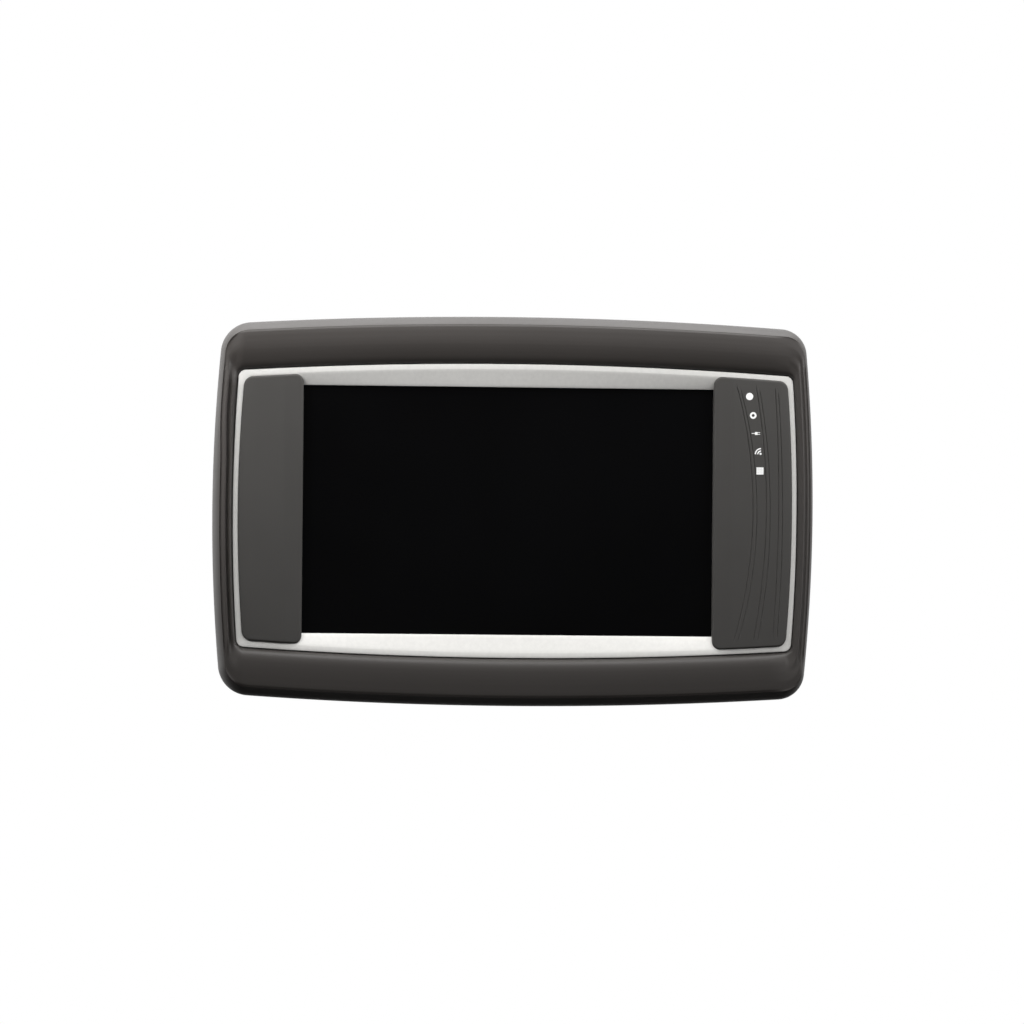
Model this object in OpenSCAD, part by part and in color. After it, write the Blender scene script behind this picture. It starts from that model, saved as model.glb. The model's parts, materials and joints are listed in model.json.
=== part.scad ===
// In-vehicle touchscreen display, built as an assembly of separate pieces.
// Row frame: the screen faces -Y, +X is the viewer's right, +Z is up.
// The origin is the centre of the rear mounting pattern, on the plane of its pads.
// A "depth" below is measured backwards from the frontmost point of the bumper.

/* [Screen] */
// Width of the glass that shows between the two grips
opening_w = 153.4; // [140:0.2:170]
// Height of the glass that shows between the trim's slopes
opening_h = 92.2; // [84:0.2:100]
// How far the trim's own opening runs on under each grip
trim_hidden = 3; // [2.4:0.1:4]
// How far the cover glass reaches past the trim's opening, each side
glass_overlap_w = 3.3; // [2.4:0.1:4]
// How far the cover glass reaches past the trim's opening, top and bottom
glass_overlap_h = 5.9; // [4.5:0.1:7]
// Thickness of the cover glass
glass_t = 1.8; // [1.1:0.1:2.5]
// Thickness of the clear bond between the glass and the panel
bond_t = 0.3; // [0.2:0.05:0.6]
// Thickness of the liquid crystal cell
cell_t = 1.4; // [1:0.1:2]
// Thickness of the light guide and diffuser stack
backlight_t = 3.3; // [2.5:0.1:4.5]
// Sheet thickness of the panel's metal tray
tray_t = 0.8; // [0.6:0.1:1.2]
// How far the panel's metal tray reaches past the window, each side
tray_rim_w = 5.8; // [4:0.1:8]
// How far the panel's metal tray reaches past the window, top and bottom
tray_rim_h = 3.9; // [3:0.1:6]

/* [Trim] */
// Width of the silver rim beside each grip
rim_w = 1.8; // [1.4:0.1:2.6]
// Height of the silver band above and below the glass, at mid-width
band_h = 8.6; // [7:0.1:11]
// Width of the flat rim along the band's outer edge
band_rim_w = 2; // [1.4:0.1:3]
// Rise of the trim's top and bottom edges from the corners to the middle
trim_bow_h = 3.6; // [2:0.1:5]
// Rise of the trim's side edges from the corners to the middle
trim_bow_w = 2.15; // [1.2:0.05:3]
// Corner radius of the trim's outline
trim_corner_r = 2.7; // [2:0.1:4]
// Depth of the trim's rim
rim_depth = 2.8; // [2.4:0.1:3.2]
// Depth of the seat that the grips stand on, where the slopes end too
seat_depth = 4.5; // [4.2:0.1:5.5]
// Thickness of the trim under the grips
trim_t = 0.9; // [0.7:0.1:1.5]
// Thickness of the foam dust gasket between the trim and the glass
dust_gasket_t = 0.4; // [0.3:0.1:0.8]

/* [Grips] */
// Width of the left grip
left_grip_w = 24.2; // [20:0.2:30]
// Width of the right grip
right_grip_w = 29.6; // [27:0.2:34]
// Distance from the trim's top and bottom edges to the left grip
left_grip_inset = 2.4; // [2:0.1:3]
// Distance from the trim's top and bottom edges to the right grip
right_grip_inset = 1.8; // [1.6:0.1:3]
// Corner radius of both grips
grip_corner_r = 3.2; // [2:0.1:5]
// Depth of a grip's crown
grip_crown_depth = 1.3; // [1:0.1:1.8]
// How much further back a grip's outer edge lies than its crown
grip_edge_drop = 0.5; // [0.2:0.1:1]
// How much further back a grip's screen edge lies than its crown
grip_roll_drop = 1.3; // [0.6:0.1:1.8]
// Width of the rolled strip along the screen
grip_roll_w = 8.5; // [5:0.5:10]
// Width of one engraved line
line_w = 0.5; // [0.3:0.1:0.7]
// Depth of one engraved line
line_depth = 0.4; // [0.2:0.1:0.6]
// Distance between the two lines of a pair
line_pair = 1.4; // [1.1:0.1:1.8]

/* [Status icons] */
// Size of an icon
icon_size = 3; // [2.4:0.1:3.4]
// Height of the first icon above the middle of the screen
icon_top = 43.5; // [42:0.1:45]
// Distance from one icon to the next
icon_pitch = 6.93; // [6:0.01:7.2]
// Thickness of the icon inlays
icon_t = 0.9; // [0.6:0.1:1.2]
// Width of the clear light guide behind the icons
guide_w = 4.6; // [4:0.1:5]

/* [Bumper] */
// Width of the bumper beside the trim
bumper_side_w = 6.9; // [6:0.1:9]
// Width of the bumper above and below the trim
bumper_top_w = 17.9; // [16:0.2:21]
// Bow of the bumper's top and bottom edges
bumper_bow_h = 4.1; // [3:0.1:5]
// Bow of the bumper's side edges
bumper_bow_w = 4.1; // [3:0.1:5]
// Corner radius of the bumper's outline
bumper_corner_r = 9.8; // [8:0.1:14]
// Distance from the bumper's edge to its crease at the sides
crease_side = 1.8; // [1.2:0.1:2.4]
// Distance from the bumper's edge to its crease at the top and bottom
crease_top = 4.85; // [3.5:0.05:6]
// Depth of the bumper's widest line
widest_depth = 13; // [11:0.5:15]
// Depth of the bumper's back edge
bumper_back = 22; // [21.3:0.1:22.6]
// Thickness of the bumper's wall at the sides
bumper_wall_side = 4.1; // [3.6:0.1:4.6]
// Thickness of the bumper's wall at the top and bottom
bumper_wall_top = 5.5; // [5:0.1:7]

/* [Front housing] */
// Thickness of the front housing's plate
plate_t = 3; // [2.4:0.1:3.2]
// Thickness of the front housing's outer wall
housing_wall = 2.5; // [2:0.1:3]
// Depth of the front housing's back edge
housing_back = 19.5; // [19:0.1:20.5]
// Thickness of the seal between the two halves
seal_t = 0.8; // [0.5:0.1:1.2]
// Width of the seal between the two halves
seal_w = 1.8; // [1.2:0.1:2]

/* [Rear cover] */
// Room between the main board and the floor of the cover
board_room = 14.9; // [13.4:0.1:18]
// Thickness of the cover's flange
flange_t = 3; // [2.5:0.1:4]
// Distance from the flange's edge to the tub at the sides
flange_side_w = 17; // [15:0.5:18]
// Distance from the flange's edge to the tub at the top and bottom
flange_top_w = 12.6; // [12:0.2:14]
// Wall thickness of the tub
tub_wall = 2.5; // [2:0.1:3]
// Slope of the tub's walls, as the width lost up to its shoulder
tub_draft = 2.5; // [1.5:0.1:3]
// Width of the tub's sloped shoulder
tub_shoulder = 5; // [3:0.5:6]
// Corner radius of the tub
tub_r = 14; // [11:0.5:16]
// Height of the mounting pads and of the raised parts of the back
pad_h = 3; // [2.4:0.1:4]
// Height of a cooling fin
fin_h = 2.2; // [1:0.1:2.8]
// Thickness of a cooling fin
fin_t = 2; // [1.4:0.1:2.6]
// Distance from one fin to the next
fin_pitch = 6; // [5:0.5:8]
// Number of fins in each group
fin_count = 5; // [3:1:6]

/* [Mounting pattern] */
// Hole to hole distance of the mounting pattern, both ways
mount_pitch = 75; // [70:0.5:78]
// Radius of the hole in a threaded insert
mount_hole_r = 1.65; // [1.25:0.05:2.2]
// Outer radius of a threaded insert
insert_r = 2.8; // [2.6:0.1:3.4]
// Length of a threaded insert
insert_len = 8; // [6:0.5:9]
// Radius of a mounting pad
pad_r = 8.5; // [7:0.1:10]

/* [Electronics] */
// Thickness of the chassis sheet
chassis_t = 1.5; // [1:0.1:2.5]
// Height of the spacers between the chassis sheet and the main board
spacer_h = 8.5; // [7.5:0.1:9]
// Thickness of the boards
board_t = 1.6; // [1:0.1:2]
// Distance from the tub to the main board at the sides
board_side_gap = 9; // [8:0.5:12]
// Distance from the tub to the main board at the top and bottom
board_top_gap = 10; // [9:0.5:12]
// Side of the processor package
processor_w = 17; // [14:0.5:23]
// Thickness of the processor package
processor_t = 1.6; // [1:0.1:2.5]
// Thickness of the soft thermal pad on the processor
thermal_pad_t = 1; // [0.5:0.1:2]
// Width of a memory chip
memory_w = 9; // [7:0.5:11]
// Height of a memory chip
memory_h = 12; // [9:0.5:14]
// Side of a power inductor
inductor_w = 8; // [6:0.5:10]
// Height of a power inductor
inductor_h = 4; // [3:0.5:6]
// Radius of a capacitor
capacitor_r = 3.2; // [2.5:0.1:4]
// Height of a capacitor
capacitor_h = 7.7; // [5:0.1:9]
// Radius of the coin cell
coin_r = 10; // [8:0.1:12]
// Thickness of the coin cell
coin_t = 3.2; // [1.6:0.1:5]
// Side of the wireless module's shield along the board
wireless_w = 18; // [14:0.5:22]
// Radius of the speaker
speaker_r = 13; // [10:0.5:14]
// Depth of the speaker's basket and magnet
speaker_h = 6; // [4:0.5:8]

/* [Screws] */
// Shank radius of the cover screws
cover_screw_r = 2; // [1.5:0.05:2.2]
// Head radius of the cover screws
cover_head_r = 3.6; // [3:0.1:4.2]
// Shank radius of the board and panel screws
small_screw_r = 1.2; // [1:0.05:1.4]
// Head radius of the board and panel screws
small_head_r = 2.4; // [2:0.1:2.8]

/* [Power key] */
// Radius of the power key's cap
key_r = 5.2; // [4:0.1:6]
// Travel of the power key
key_travel = 1; // [0.5:0.1:1.2]
// How far the key stands out of its boss
key_proud = 1.4; // [1.3:0.1:2]
// Distance of the key from the middle
key_x = 58; // [50:0.5:64]

/* [Port door] */
// Length of the port door
door_len = 32; // [29:0.5:36]
// Width of the port door, hinge barrel included
door_w = 12; // [11.5:0.1:14]
// Thickness of the port door's leaf
door_t = 1.6; // [1.2:0.1:2]
// Radius of the door's hinge pin
door_pin_r = 0.8; // [0.6:0.05:0.9]
// Radius of the door's hinge barrel
door_barrel_r = 1.6; // [1.4:0.05:1.8]
// Height of the middle of the port door
door_z = 16; // [14:0.5:20]

/* [Connectors] */
// Inner width of the main connector's shroud
plug_w = 40; // [30:0.5:44]
// Inner height of the main connector's shroud
plug_h = 9; // [8:0.1:10]
// Wall of the main connector's shroud
plug_wall = 1.6; // [1.2:0.1:2]
// Depth of the main connector's shroud
plug_depth = 12; // [11:0.5:13]
// How far the main connector's shroud stands out below the cover
plug_proud = 8.5; // [6:0.5:11]
// Number of pins in each of the two rows
plug_pins = 10; // [6:1:12]
// Length of a pin
pin_len = 6.5; // [5:0.1:7]
// Outer radius of the antenna socket's thread
coax_r = 3.175; // [3:0.005:3.6]
// How far the antenna socket stands out below the cover
coax_len = 9; // [8:0.5:11]
// Thickness of the antenna socket's nut
coax_nut_t = 2; // [1.5:0.1:3]

/* [Hidden] */

// Fits
clearance = 0.15;      // between pieces that are assembled side by side
slip = 0.25;           // between a moving piece and its guide
thread_gap = 0.05;     // between a shank and the hole that holds it
pin_gap = 0.05;        // between the hinge pin and its barrel

// Smoothness of the round shapes
$fn = 48;
side_steps = 8;        // points along a quarter of a side edge
corner_steps = 8;      // points round a corner
top_steps = 14;        // points along half of a top edge

// Depths, one piece behind the other
trim_back = seat_depth + trim_t;
glass_front = trim_back + dust_gasket_t;
glass_back = glass_front + glass_t;
bond_back = glass_back + bond_t;
cell_back = bond_back + cell_t;
backlight_back = cell_back + backlight_t;
tray_back = backlight_back + tray_t;
plate_back = trim_back + plate_t;
foam_t = 0.6;
chassis_front = tray_back + foam_t;
chassis_back = chassis_front + chassis_t;
board_front = chassis_back + spacer_h;
board_back = board_front + board_t;
body_depth = board_back + board_room + tub_wall + pad_h;
seam_back = housing_back + seal_t;
flange_back = seam_back + flange_t;
tub_back = body_depth - pad_h;
tub_floor = tub_back - tub_wall;

// Outlines
trim_w = opening_w + left_grip_w + right_grip_w + 2 * rim_w;
trim_h = opening_h + 2 * band_h;
body_w = trim_w + 2 * bumper_side_w;
body_h = trim_h + 2 * bumper_top_w;
screen_x = (left_grip_w - right_grip_w) / 2;
trim_opening_w = opening_w + 2 * trim_hidden;
glass_w = trim_opening_w + 2 * glass_overlap_w;
glass_h = opening_h + 2 * glass_overlap_h;
left_edge = screen_x - opening_w / 2;
right_edge = screen_x + opening_w / 2;
tray_w = opening_w + 2 * tray_rim_w;
tray_h = opening_h + 2 * tray_rim_h;
glass_corner_r = 3;
sheet_corner_r = 2;
cell_margin = 2.2;
cell_w = opening_w + 2 * cell_margin;
cell_h = opening_h + 2 * cell_margin;
ledge_gap = 0.6;
housing_inset = [bumper_wall_side + 0.1, bumper_wall_top + 0.1];
inner_inset = housing_inset + [housing_wall, housing_wall];
flange_inset = housing_inset + [0.1, 0.1];
flange_w = body_w - 2 * flange_inset[0];
flange_h = body_h - 2 * flange_inset[1];
tub_w = flange_w - 2 * flange_side_w;
tub_h = flange_h - 2 * flange_top_w;
board_w = tub_w - 2 * board_side_gap;
board_h = tub_h - 2 * board_top_gap;
chassis_w = body_w - 2 * (inner_inset[0] + 2.8);
chassis_h = board_h + 14;

cover_boss_r = cover_screw_r + 2.2;

// Places of what repeats
board_places = [for (sx = [-1, 0, 1], sz = [-1, 1]) [sx * (board_w / 2 - 6), sz * (board_h / 2 - 5)]];
chassis_places = [for (sx = [-1, 1], sz = [-1, 1]) [sx * (chassis_w / 2 - 4), sz * (chassis_h / 2 - 14)]];
ear_reach = 4;
ear_x = [screen_x - tray_w / 2 - ear_reach, screen_x + tray_w / 2 + ear_reach];
ear_z = [0.34, -0.06, -0.34] * tray_h;
ear_places = [[ear_x[0], ear_z[0]], [ear_x[0], ear_z[2]], [ear_x[1], ear_z[1]], [ear_x[1], ear_z[2]]];
mount_places = [for (sx = [-1, 1], sz = [-1, 1]) [sx, sz] * mount_pitch / 2];

// Engraved line pairs of the right grip: [distance of the bow's crown from the
// grip's screen edge, rise of the bow, half of its height]
line_half = trim_h / 2 - 6.7;
line_pairs = [[15.2, 6.8, line_half], [20.1, 4.5, line_half], [24.8, 1.8, line_half - 1]];

// Power key, port door, connectors
key_depth = board_back + 5;
key_boss_r = key_r + 2.2;
key_boss_top = tub_h / 2 + 0.4;
key_flange_r = key_r + 1.1;
key_flange_t = 1.2;
key_stem_r = 1.8;
key_hole_depth = 4.1;
switch_w = 8;
switch_top = board_h / 2 + 0.3;
switch_h = 7;
plunger_r = 1.4;
plunger_len = 1.3;

door_face_x = tub_w / 2 + 1.5;
door_flange_gap = 0.9;
door_depth = flange_back + door_flange_gap + door_w / 2;
door_hinge_depth = door_depth + door_w / 2 - door_barrel_r;
door_hinge_x = door_face_x - door_barrel_r;
door_ear = 2.4;
port_block_wall = 1.5;
usb_w = 13.3;
usb_h = 5.9;
usb_len = 14;
usb_wall = 0.4;
usb_mouth_x = door_face_x - door_t - 0.9;

plinth_face = tub_h / 2 + 1.2;
plug_x = -8;
coax_x = 26;
plinth_x = [plug_x - plug_w / 2 - plug_wall - 5, coax_x + coax_r + 8];
plinth_wall = 1.5;
plug_center = board_back + plug_wall + plug_h / 2;
plinth_back = plug_center + plug_h / 2 + plug_wall + 0.7 + plinth_wall;
plug_mouth = plinth_face + plug_proud;
coax_depth = board_back + 6.5;
coax_flange_t = 2;

cover_screw_places = [
    for (sx = [-1, 1], sz = [-1, 1]) [sx * (tub_w / 2 - 7), sz * (tub_h / 2 + cover_head_r - 0.6)],
    [0, tub_h / 2 + cover_head_r + 1.2],
    for (x = [plinth_x[0] - 13.4, plinth_x[1] + 10.8]) [x, -tub_h / 2 - cover_head_r - 1.2],
    for (sx = [-1, 1]) [sx * (tub_w / 2 + flange_side_w / 2), -16]
];

speaker_x = 29 - tub_w / 2;
speaker_z = 27 - tub_h / 2;
speaker_ring_t = 0.6;
vent_x = -speaker_x;
vent_r = 5.5;
vent_stem_r = 2.5;
plate_label = [44, 20];
plate_label_t = 0.3;
fin_bottom = -8;
fin_top = tub_h / 2 - tub_draft - tub_shoulder - 8;
fin_inner_x = 50;

// ---------------------------------------------------------------- helpers

// Places a flat drawing (X across, Z up) as a slab between two depths
module slab(front, back) {
    translate([0, back - body_depth, 0])
        rotate([90, 0, 0])
            linear_extrude(back - front)
                children();
}

// A rectangle with true round corners
module round_rect(w, h, r) {
    square([w - 2 * r, h], center = true);
    square([w, h - 2 * r], center = true);
    for (sx = [-1, 1], sz = [-1, 1])
        translate([sx * (w / 2 - r), sz * (h / 2 - r)])
            circle(r);
}

// Puts a copy of the child at each place
module at(places) {
    for (p = places)
        translate(p)
            children();
}

function bow_radius(half, bow) = (half * half + bow * bow) / (2 * bow);

// Centre of the corner arc that touches the top bow and the side bow
function corner_centre(hw, hh, bow_w, bow_h, r) =
    let (
        top_r = bow_radius(hw, bow_h) - r,
        side_r = bow_radius(hh, bow_w) - r,
        top_c = [0, hh - top_r - r],
        side_c = [hw - side_r - r, 0],
        gap = side_c - top_c,
        d = norm(gap),
        u = gap / d,
        a = (top_r * top_r - side_r * side_r + d * d) / (2 * d),
        h = sqrt(top_r * top_r - a * a)
    )
    top_c + a * u + h * [u[1], -u[0]];

// A quarter of a bowed rectangle's outline, from the right edge to the top edge
function bowed_quarter(hw, hh, bow_w, bow_h, r) =
    let (
        top_r = bow_radius(hw, bow_h),
        side_r = bow_radius(hh, bow_w),
        top_c = [0, hh - top_r],
        side_c = [hw - side_r, 0],
        c = corner_centre(hw, hh, bow_w, bow_h, r),
        low = atan2(c[1] - side_c[1], c[0] - side_c[0]),
        high = atan2(c[1] - top_c[1], c[0] - top_c[0])
    )
    concat(
        [for (i = [0:side_steps - 1]) let (t = low * i / side_steps) side_c + side_r * [cos(t), sin(t)]],
        [for (i = [0:corner_steps]) let (t = low + (high - low) * i / corner_steps) c + r * [cos(t), sin(t)]],
        [
            for (i = [1:top_steps])
                let (t = high + (90 - high) * i / top_steps)
                top_c + top_r * [cos(t), sin(t)]
        ]
    );

// How much a point of the quarter belongs to the side (1) or to the top (0)
side_share = concat(
    [for (i = [0:side_steps - 1]) 1],
    [for (i = [0:corner_steps]) pow(cos(90 * i / corner_steps), 2)],
    [for (i = [1:top_steps]) 0]
);

// The whole outline from its quarter; sx and sz mirror, and shares keep their value
function around(q, sx = -1, sz = -1) =
    let (n = len(q))
    concat(
        q,
        [for (i = [n - 2:-1:0]) flip(q[i], sx, 1)],
        [for (i = [1:n - 1]) flip(q[i], sx, sz)],
        [for (i = [n - 2:-1:1]) flip(q[i], 1, sz)]
    );
function flip(p, sx, sz) = is_list(p) ? [p[0] * sx, p[1] * sz] : p;

function bowed_outline(hw, hh, bow_w, bow_h, r) = around(bowed_quarter(hw, hh, bow_w, bow_h, r));

// Outline of the body at a side and a top inset: from the bumper's edge at [0, 0]
// to the trim's edge at [bumper_side_w, bumper_top_w] and on inwards
function body_outline(inset) =
    let (share = min(1, inset[0] / bumper_side_w))
    bowed_outline(
        body_w / 2 - inset[0],
        body_h / 2 - inset[1],
        bumper_bow_w + (trim_bow_w - bumper_bow_w) * share,
        bumper_bow_h + (trim_bow_h - bumper_bow_h) * share,
        max(1, bumper_corner_r + (trim_corner_r - bumper_corner_r) * share)
    );

// The trim's outline, set in by an amount at the sides and one at the top
function trim_outline(side, top) =
    body_outline([bumper_side_w + side, bumper_top_w + top]);

// A ring of points for a loft, with one depth at the sides and one at the top
function ring(outline, side_depth, top_depth) =
    let (shares = around(side_share))
    [
        for (i = [0:len(outline) - 1])
            [
                outline[i][0],
                top_depth + (side_depth - top_depth) * shares[i] - body_depth,
                outline[i][1],
            ]
    ];

// A closed ring-shaped solid through rings of points
module ring_loft(rings) {
    n = len(rings);
    m = len(rings[0]);
    points = [for (r = rings) each r];
    faces = [
        for (i = [0:n - 1], j = [0:m - 1])
            let (
                a = i * m + j,
                b = i * m + (j + 1) % m,
                c = ((i + 1) % n) * m + (j + 1) % m,
                d = ((i + 1) % n) * m + j
            )
            each [[a, b, c], [a, c, d]]
    ];
    polyhedron(points, faces);
}

// ---------------------------------------------------------------- front

// Inset of a bumper ring between its crease (0) and the trim (1)
function face_inset(share) = [
    crease_side + share * (bumper_side_w - 0.1 - crease_side),
    crease_top + share * (bumper_top_w - 0.1 - crease_top),
];
lip_depth = rim_depth + 0.3;
// [share from crease to trim, depth at the sides, depth at the top]
bumper_face = [
    [0, 1.6, 1.0], [0.1, 1.15, 0.55], [0.21, 1.0, 0.2], [0.385, 1.5, 0],
    [0.6, 0.95, 0.35], [0.77, 1.5, 1.3], [0.917, 2.5, 2.4], [1, lip_depth, lip_depth]
];
bumper_step = 0.8;

module bumper_frame() {
    wall = [bumper_wall_side, bumper_wall_top];
    color("#3b3a38")
        ring_loft([
            ring(body_outline(wall), bumper_back, bumper_back),
            ring(body_outline([1.6, 1.6]), bumper_back, bumper_back),
            ring(body_outline([0.8, 0.8]), bumper_back - bumper_step, bumper_back - bumper_step),
            ring(body_outline([0, 0]), widest_depth, widest_depth),
            ring(body_outline([0.2, 0.5] * crease_side), 9, 9),
            ring(body_outline([0.55 * crease_side, 0.5 * crease_top]), 4.6, 4.4),
            for (f = bumper_face) ring(body_outline(face_inset(f[0])), f[1], f[2]),
            ring(body_outline(face_inset(1)), trim_back - 0.1, trim_back - 0.1),
            ring(body_outline(wall), trim_back - 0.1, trim_back - 0.1),
        ]);
}

// A grip's flat outline between its screen edge and the trim's rim
module grip_shape(side, inset, gap = 0) {
    edge = side < 0 ? left_edge : right_edge;
    offset(r = grip_corner_r + gap)
        offset(delta = -grip_corner_r)
            intersection() {
                polygon(trim_outline(rim_w, inset));
                translate([side < 0 ? edge - trim_w : edge, -trim_h / 2])
                    square([trim_w, trim_h]);
            }
}

module left_grip_shape(gap = 0) { grip_shape(-1, left_grip_inset, gap); }
module right_grip_shape(gap = 0) { grip_shape(1, right_grip_inset, gap); }

module trim_bezel() {
    color("#d2d1cc")
        difference() {
            ring_loft([
                ring(trim_outline(0, 0), trim_back, trim_back),
                ring(trim_outline(0, 0), rim_depth + 0.35, rim_depth + 0.35),
                ring(trim_outline(0.3, 0.3), rim_depth, rim_depth),
                ring(trim_outline(rim_w, band_rim_w), rim_depth, rim_depth),
                ring(trim_opening_ring(), seat_depth, seat_depth),
                ring(trim_opening_ring(), trim_back, trim_back),
            ]);
            slab(0, seat_depth) {
                left_grip_shape(clearance);
                right_grip_shape(clearance);
            }
            slab(0, trim_back + 1) guide_shape(clearance);
        }
}
trim_opening_r = 1;
function trim_opening_ring() = [
    for (p = bowed_outline(trim_opening_w / 2, opening_h / 2, 0.02, 0.02, trim_opening_r))
        [p[0] + screen_x, p[1]]
];

// Section of a grip, drawn from above: flat crown, dropped outer edge, rolled screen edge
module grip_section(side) {
    edge = side < 0 ? left_edge : right_edge;
    outer = trim_w / 2 - rim_w;
    roll_steps = 8;
    slope = 3;
    points = concat(
        [[edge, seat_depth]],
        [
            for (i = [0:roll_steps])
                let (t = i / roll_steps)
                [
                    edge + side * grip_roll_w * t,
                    grip_crown_depth + grip_roll_drop * pow(1 - t, 2),
                ]
        ],
        [
            [side * (outer - slope), grip_crown_depth],
            [side * outer, grip_crown_depth + grip_edge_drop],
            [side * outer, seat_depth],
        ]
    );
    translate([0, -body_depth, -trim_h / 2])
        linear_extrude(trim_h)
            polygon(points);
}

// The strip of a grip that closes the trim's opening down to the glass
module grip_lip(side) {
    edge = side < 0 ? left_edge : right_edge;
    width = trim_hidden - clearance;
    slab(seat_depth, glass_front - clearance)
        translate([side < 0 ? edge - width : edge, -opening_h / 2 + trim_opening_r])
            square([width, opening_h - 2 * trim_opening_r]);
}

module left_grip_body() {
    intersection() {
        slab(0, seat_depth) left_grip_shape();
        grip_section(-1);
    }
    grip_lip(-1);
}

module right_grip_body() {
    intersection() {
        slab(0, seat_depth) right_grip_shape();
        grip_section(1);
    }
    grip_lip(1);
}

module left_grip_cap() {
    color("#4b4a47") left_grip_body();
}

// X of an engraved pair's centre line at a height
function line_x(pair, z) =
    let (r = bow_radius(pair[2], pair[1]))
    right_edge + pair[0] - r + sqrt(r * r - z * z);

// One engraved line: a thin arc, dx beside the pair's centre line
module engraved_line(pair, dx) {
    r = bow_radius(pair[2], pair[1]);
    intersection() {
        translate([right_edge + pair[0] - r, 0])
            difference() {
                circle(r + dx + line_w / 2, $fn = 360);
                circle(r + dx - line_w / 2, $fn = 360);
            }
        translate([right_edge, -pair[2]])
            square([trim_w, 2 * pair[2]]);
    }
}

module right_grip_cap() {
    color("#4b4a47")
        difference() {
            right_grip_body();
            slab(0, grip_crown_depth + line_depth)
                for (pair = line_pairs, side = [-1, 1])
                    engraved_line(pair, side * line_pair / 2);
            slab(0, icon_back + 1) {
                for (i = [0:len(icon_places) - 1])
                    translate(icon_places[i])
                        icon_window(i);
            }
            slab(icon_back, glass_front) guide_shape(clearance);
        }
}

// ---------------------------------------------------------------- icons

icon_back = grip_crown_depth + icon_t;
icon_places = [
    for (i = [0:4])
        let (z = icon_top - icon_pitch * i)
        [(line_x(line_pairs[0], z) + line_x(line_pairs[1], z)) / 2, z]
];
icon_gap = 0.04;

// The clear guide's outline: a bar along the row of icons
module guide_shape(gap = 0) {
    first = icon_places[0];
    last = icon_places[len(icon_places) - 1];
    step = last - first;
    translate((first + last) / 2)
        rotate(atan2(step[1], step[0]))
            square([norm(step) + icon_size + 1 + 2 * gap, guide_w + 2 * gap], center = true);
}

// A plug with a cord, two prongs and a body
module plug_drawing() {
    s = icon_size / 3;
    square([1.3 * s, 1.5 * s], center = true);
    for (sz = [-1, 1])
        translate([0.6 * s, (sz * 0.42 - 0.16) * s])
            square([0.9 * s, 0.32 * s]);
    translate([-1.6 * s, -0.16 * s])
        square([1.1 * s, 0.32 * s]);
}

// A dot in the lower right corner and two quarter arcs around it
module signal_drawing() {
    s = icon_size / 3;
    stroke = 0.45 * s;
    translate([1.15 * s, -1.15 * s]) {
        circle(0.42 * s);
        for (r = [1.35 * s, 2.45 * s])
            intersection() {
                difference() {
                    circle(r + stroke / 2);
                    circle(r - stroke / 2);
                }
                translate([-3 * s, -0.2 * s]) square([3.2 * s, 3.2 * s]);
            }
    }
}

module icon_drawing(i) {
    if (i < 2) circle(icon_size / 2);
    if (i == 2) plug_drawing();
    if (i == 3) signal_drawing();
    if (i == 4) square(icon_size * 0.98, center = true);
}

module icon_window(i) {
    offset(delta = icon_gap) icon_drawing(i);
}

// An inlay, cut flush with the grip's own surface
module icon_inlay(i) {
    color("white")
        intersection() {
            grip_section(1);
            slab(0, icon_back)
                translate(icon_places[i])
                    icon_drawing(i);
        }
}

module record_icon() { icon_inlay(0); }

module ring_icon() {
    color("white")
        difference() {
            icon_inlay(1);
            slab(0, grip_crown_depth + icon_t / 2)
                translate(icon_places[1])
                    circle(icon_size / 6);
        }
}

module port_icon() { icon_inlay(2); }
module signal_icon() { icon_inlay(3); }

module menu_icon() {
    cut = 0.16;
    color("white")
        difference() {
            icon_inlay(4);
            slab(0, grip_crown_depth + icon_t / 4)
                translate(icon_places[4])
                    for (s = [-1, 1]) {
                        translate([s * icon_size / 6, 0]) square([cut, 2 * icon_size], center = true);
                        translate([0, s * icon_size / 6]) square([2 * icon_size, cut], center = true);
                    }
        }
}

guide_back = plate_back - 0.1;
module icon_light_guide() {
    color("#e8eef2", 0.6)
        slab(icon_back, guide_back) guide_shape();
}

led_h = 0.7;
indicator_front = plate_back + led_h;
indicator_board_w = 9.4;
indicator_board_h = 44;
indicator_middle = (icon_places[0] + icon_places[4]) / 2;

module indicator_board() {
    color("#1f6b3a")
        difference() {
            slab(indicator_front, indicator_front + board_t / 2)
                translate(indicator_middle)
                    square([indicator_board_w, indicator_board_h], center = true);
            slab(0, indicator_front + board_t)
                at(indicator_screw_places) circle(small_screw_r + slip);
        }
}
indicator_screw_places = [for (s = [-1, 1]) indicator_middle + [0, s * (indicator_board_h / 2 - 2.6)]];

module indicator_leds() {
    color("#f2f0d8")
        slab(guide_back + 0.15, indicator_front)
            at(icon_places) square([1.6, 1.6], center = true);
}

ribbon_t = 0.3;
header_h = 5;
header_face = board_front - header_h;
header_w = 4.5;
indicator_ribbon_w = 6;
indicator_ribbon_z = indicator_middle[1] - indicator_board_h / 2 + 8;
indicator_header_x = board_w / 2 - 4;

// From the indicator board straight back, then across to its header
module indicator_ribbon() {
    x = indicator_middle[0];
    w = indicator_ribbon_w;
    start = indicator_front + board_t / 2;
    color("#c9a66b") {
        slab(start, header_face)
            translate([x - w / 2, indicator_ribbon_z - ribbon_t / 2]) square([w, ribbon_t]);
        slab(header_face - ribbon_t, header_face)
            translate([indicator_header_x - header_w / 2, indicator_ribbon_z - w / 2])
                square([x + w / 2 - indicator_header_x + header_w / 2, w]);
    }
}

// ---------------------------------------------------------------- screen

module dust_gasket() {
    gap = 0.4;
    color("#1b1b1b")
        slab(trim_back, glass_front)
            translate([screen_x, 0])
                difference() {
                    round_rect(glass_w - 2 * gap, glass_h - 2 * gap, glass_corner_r);
                    square([trim_opening_w + 2 * gap, opening_h + 2 * gap], center = true);
                }
}

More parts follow.
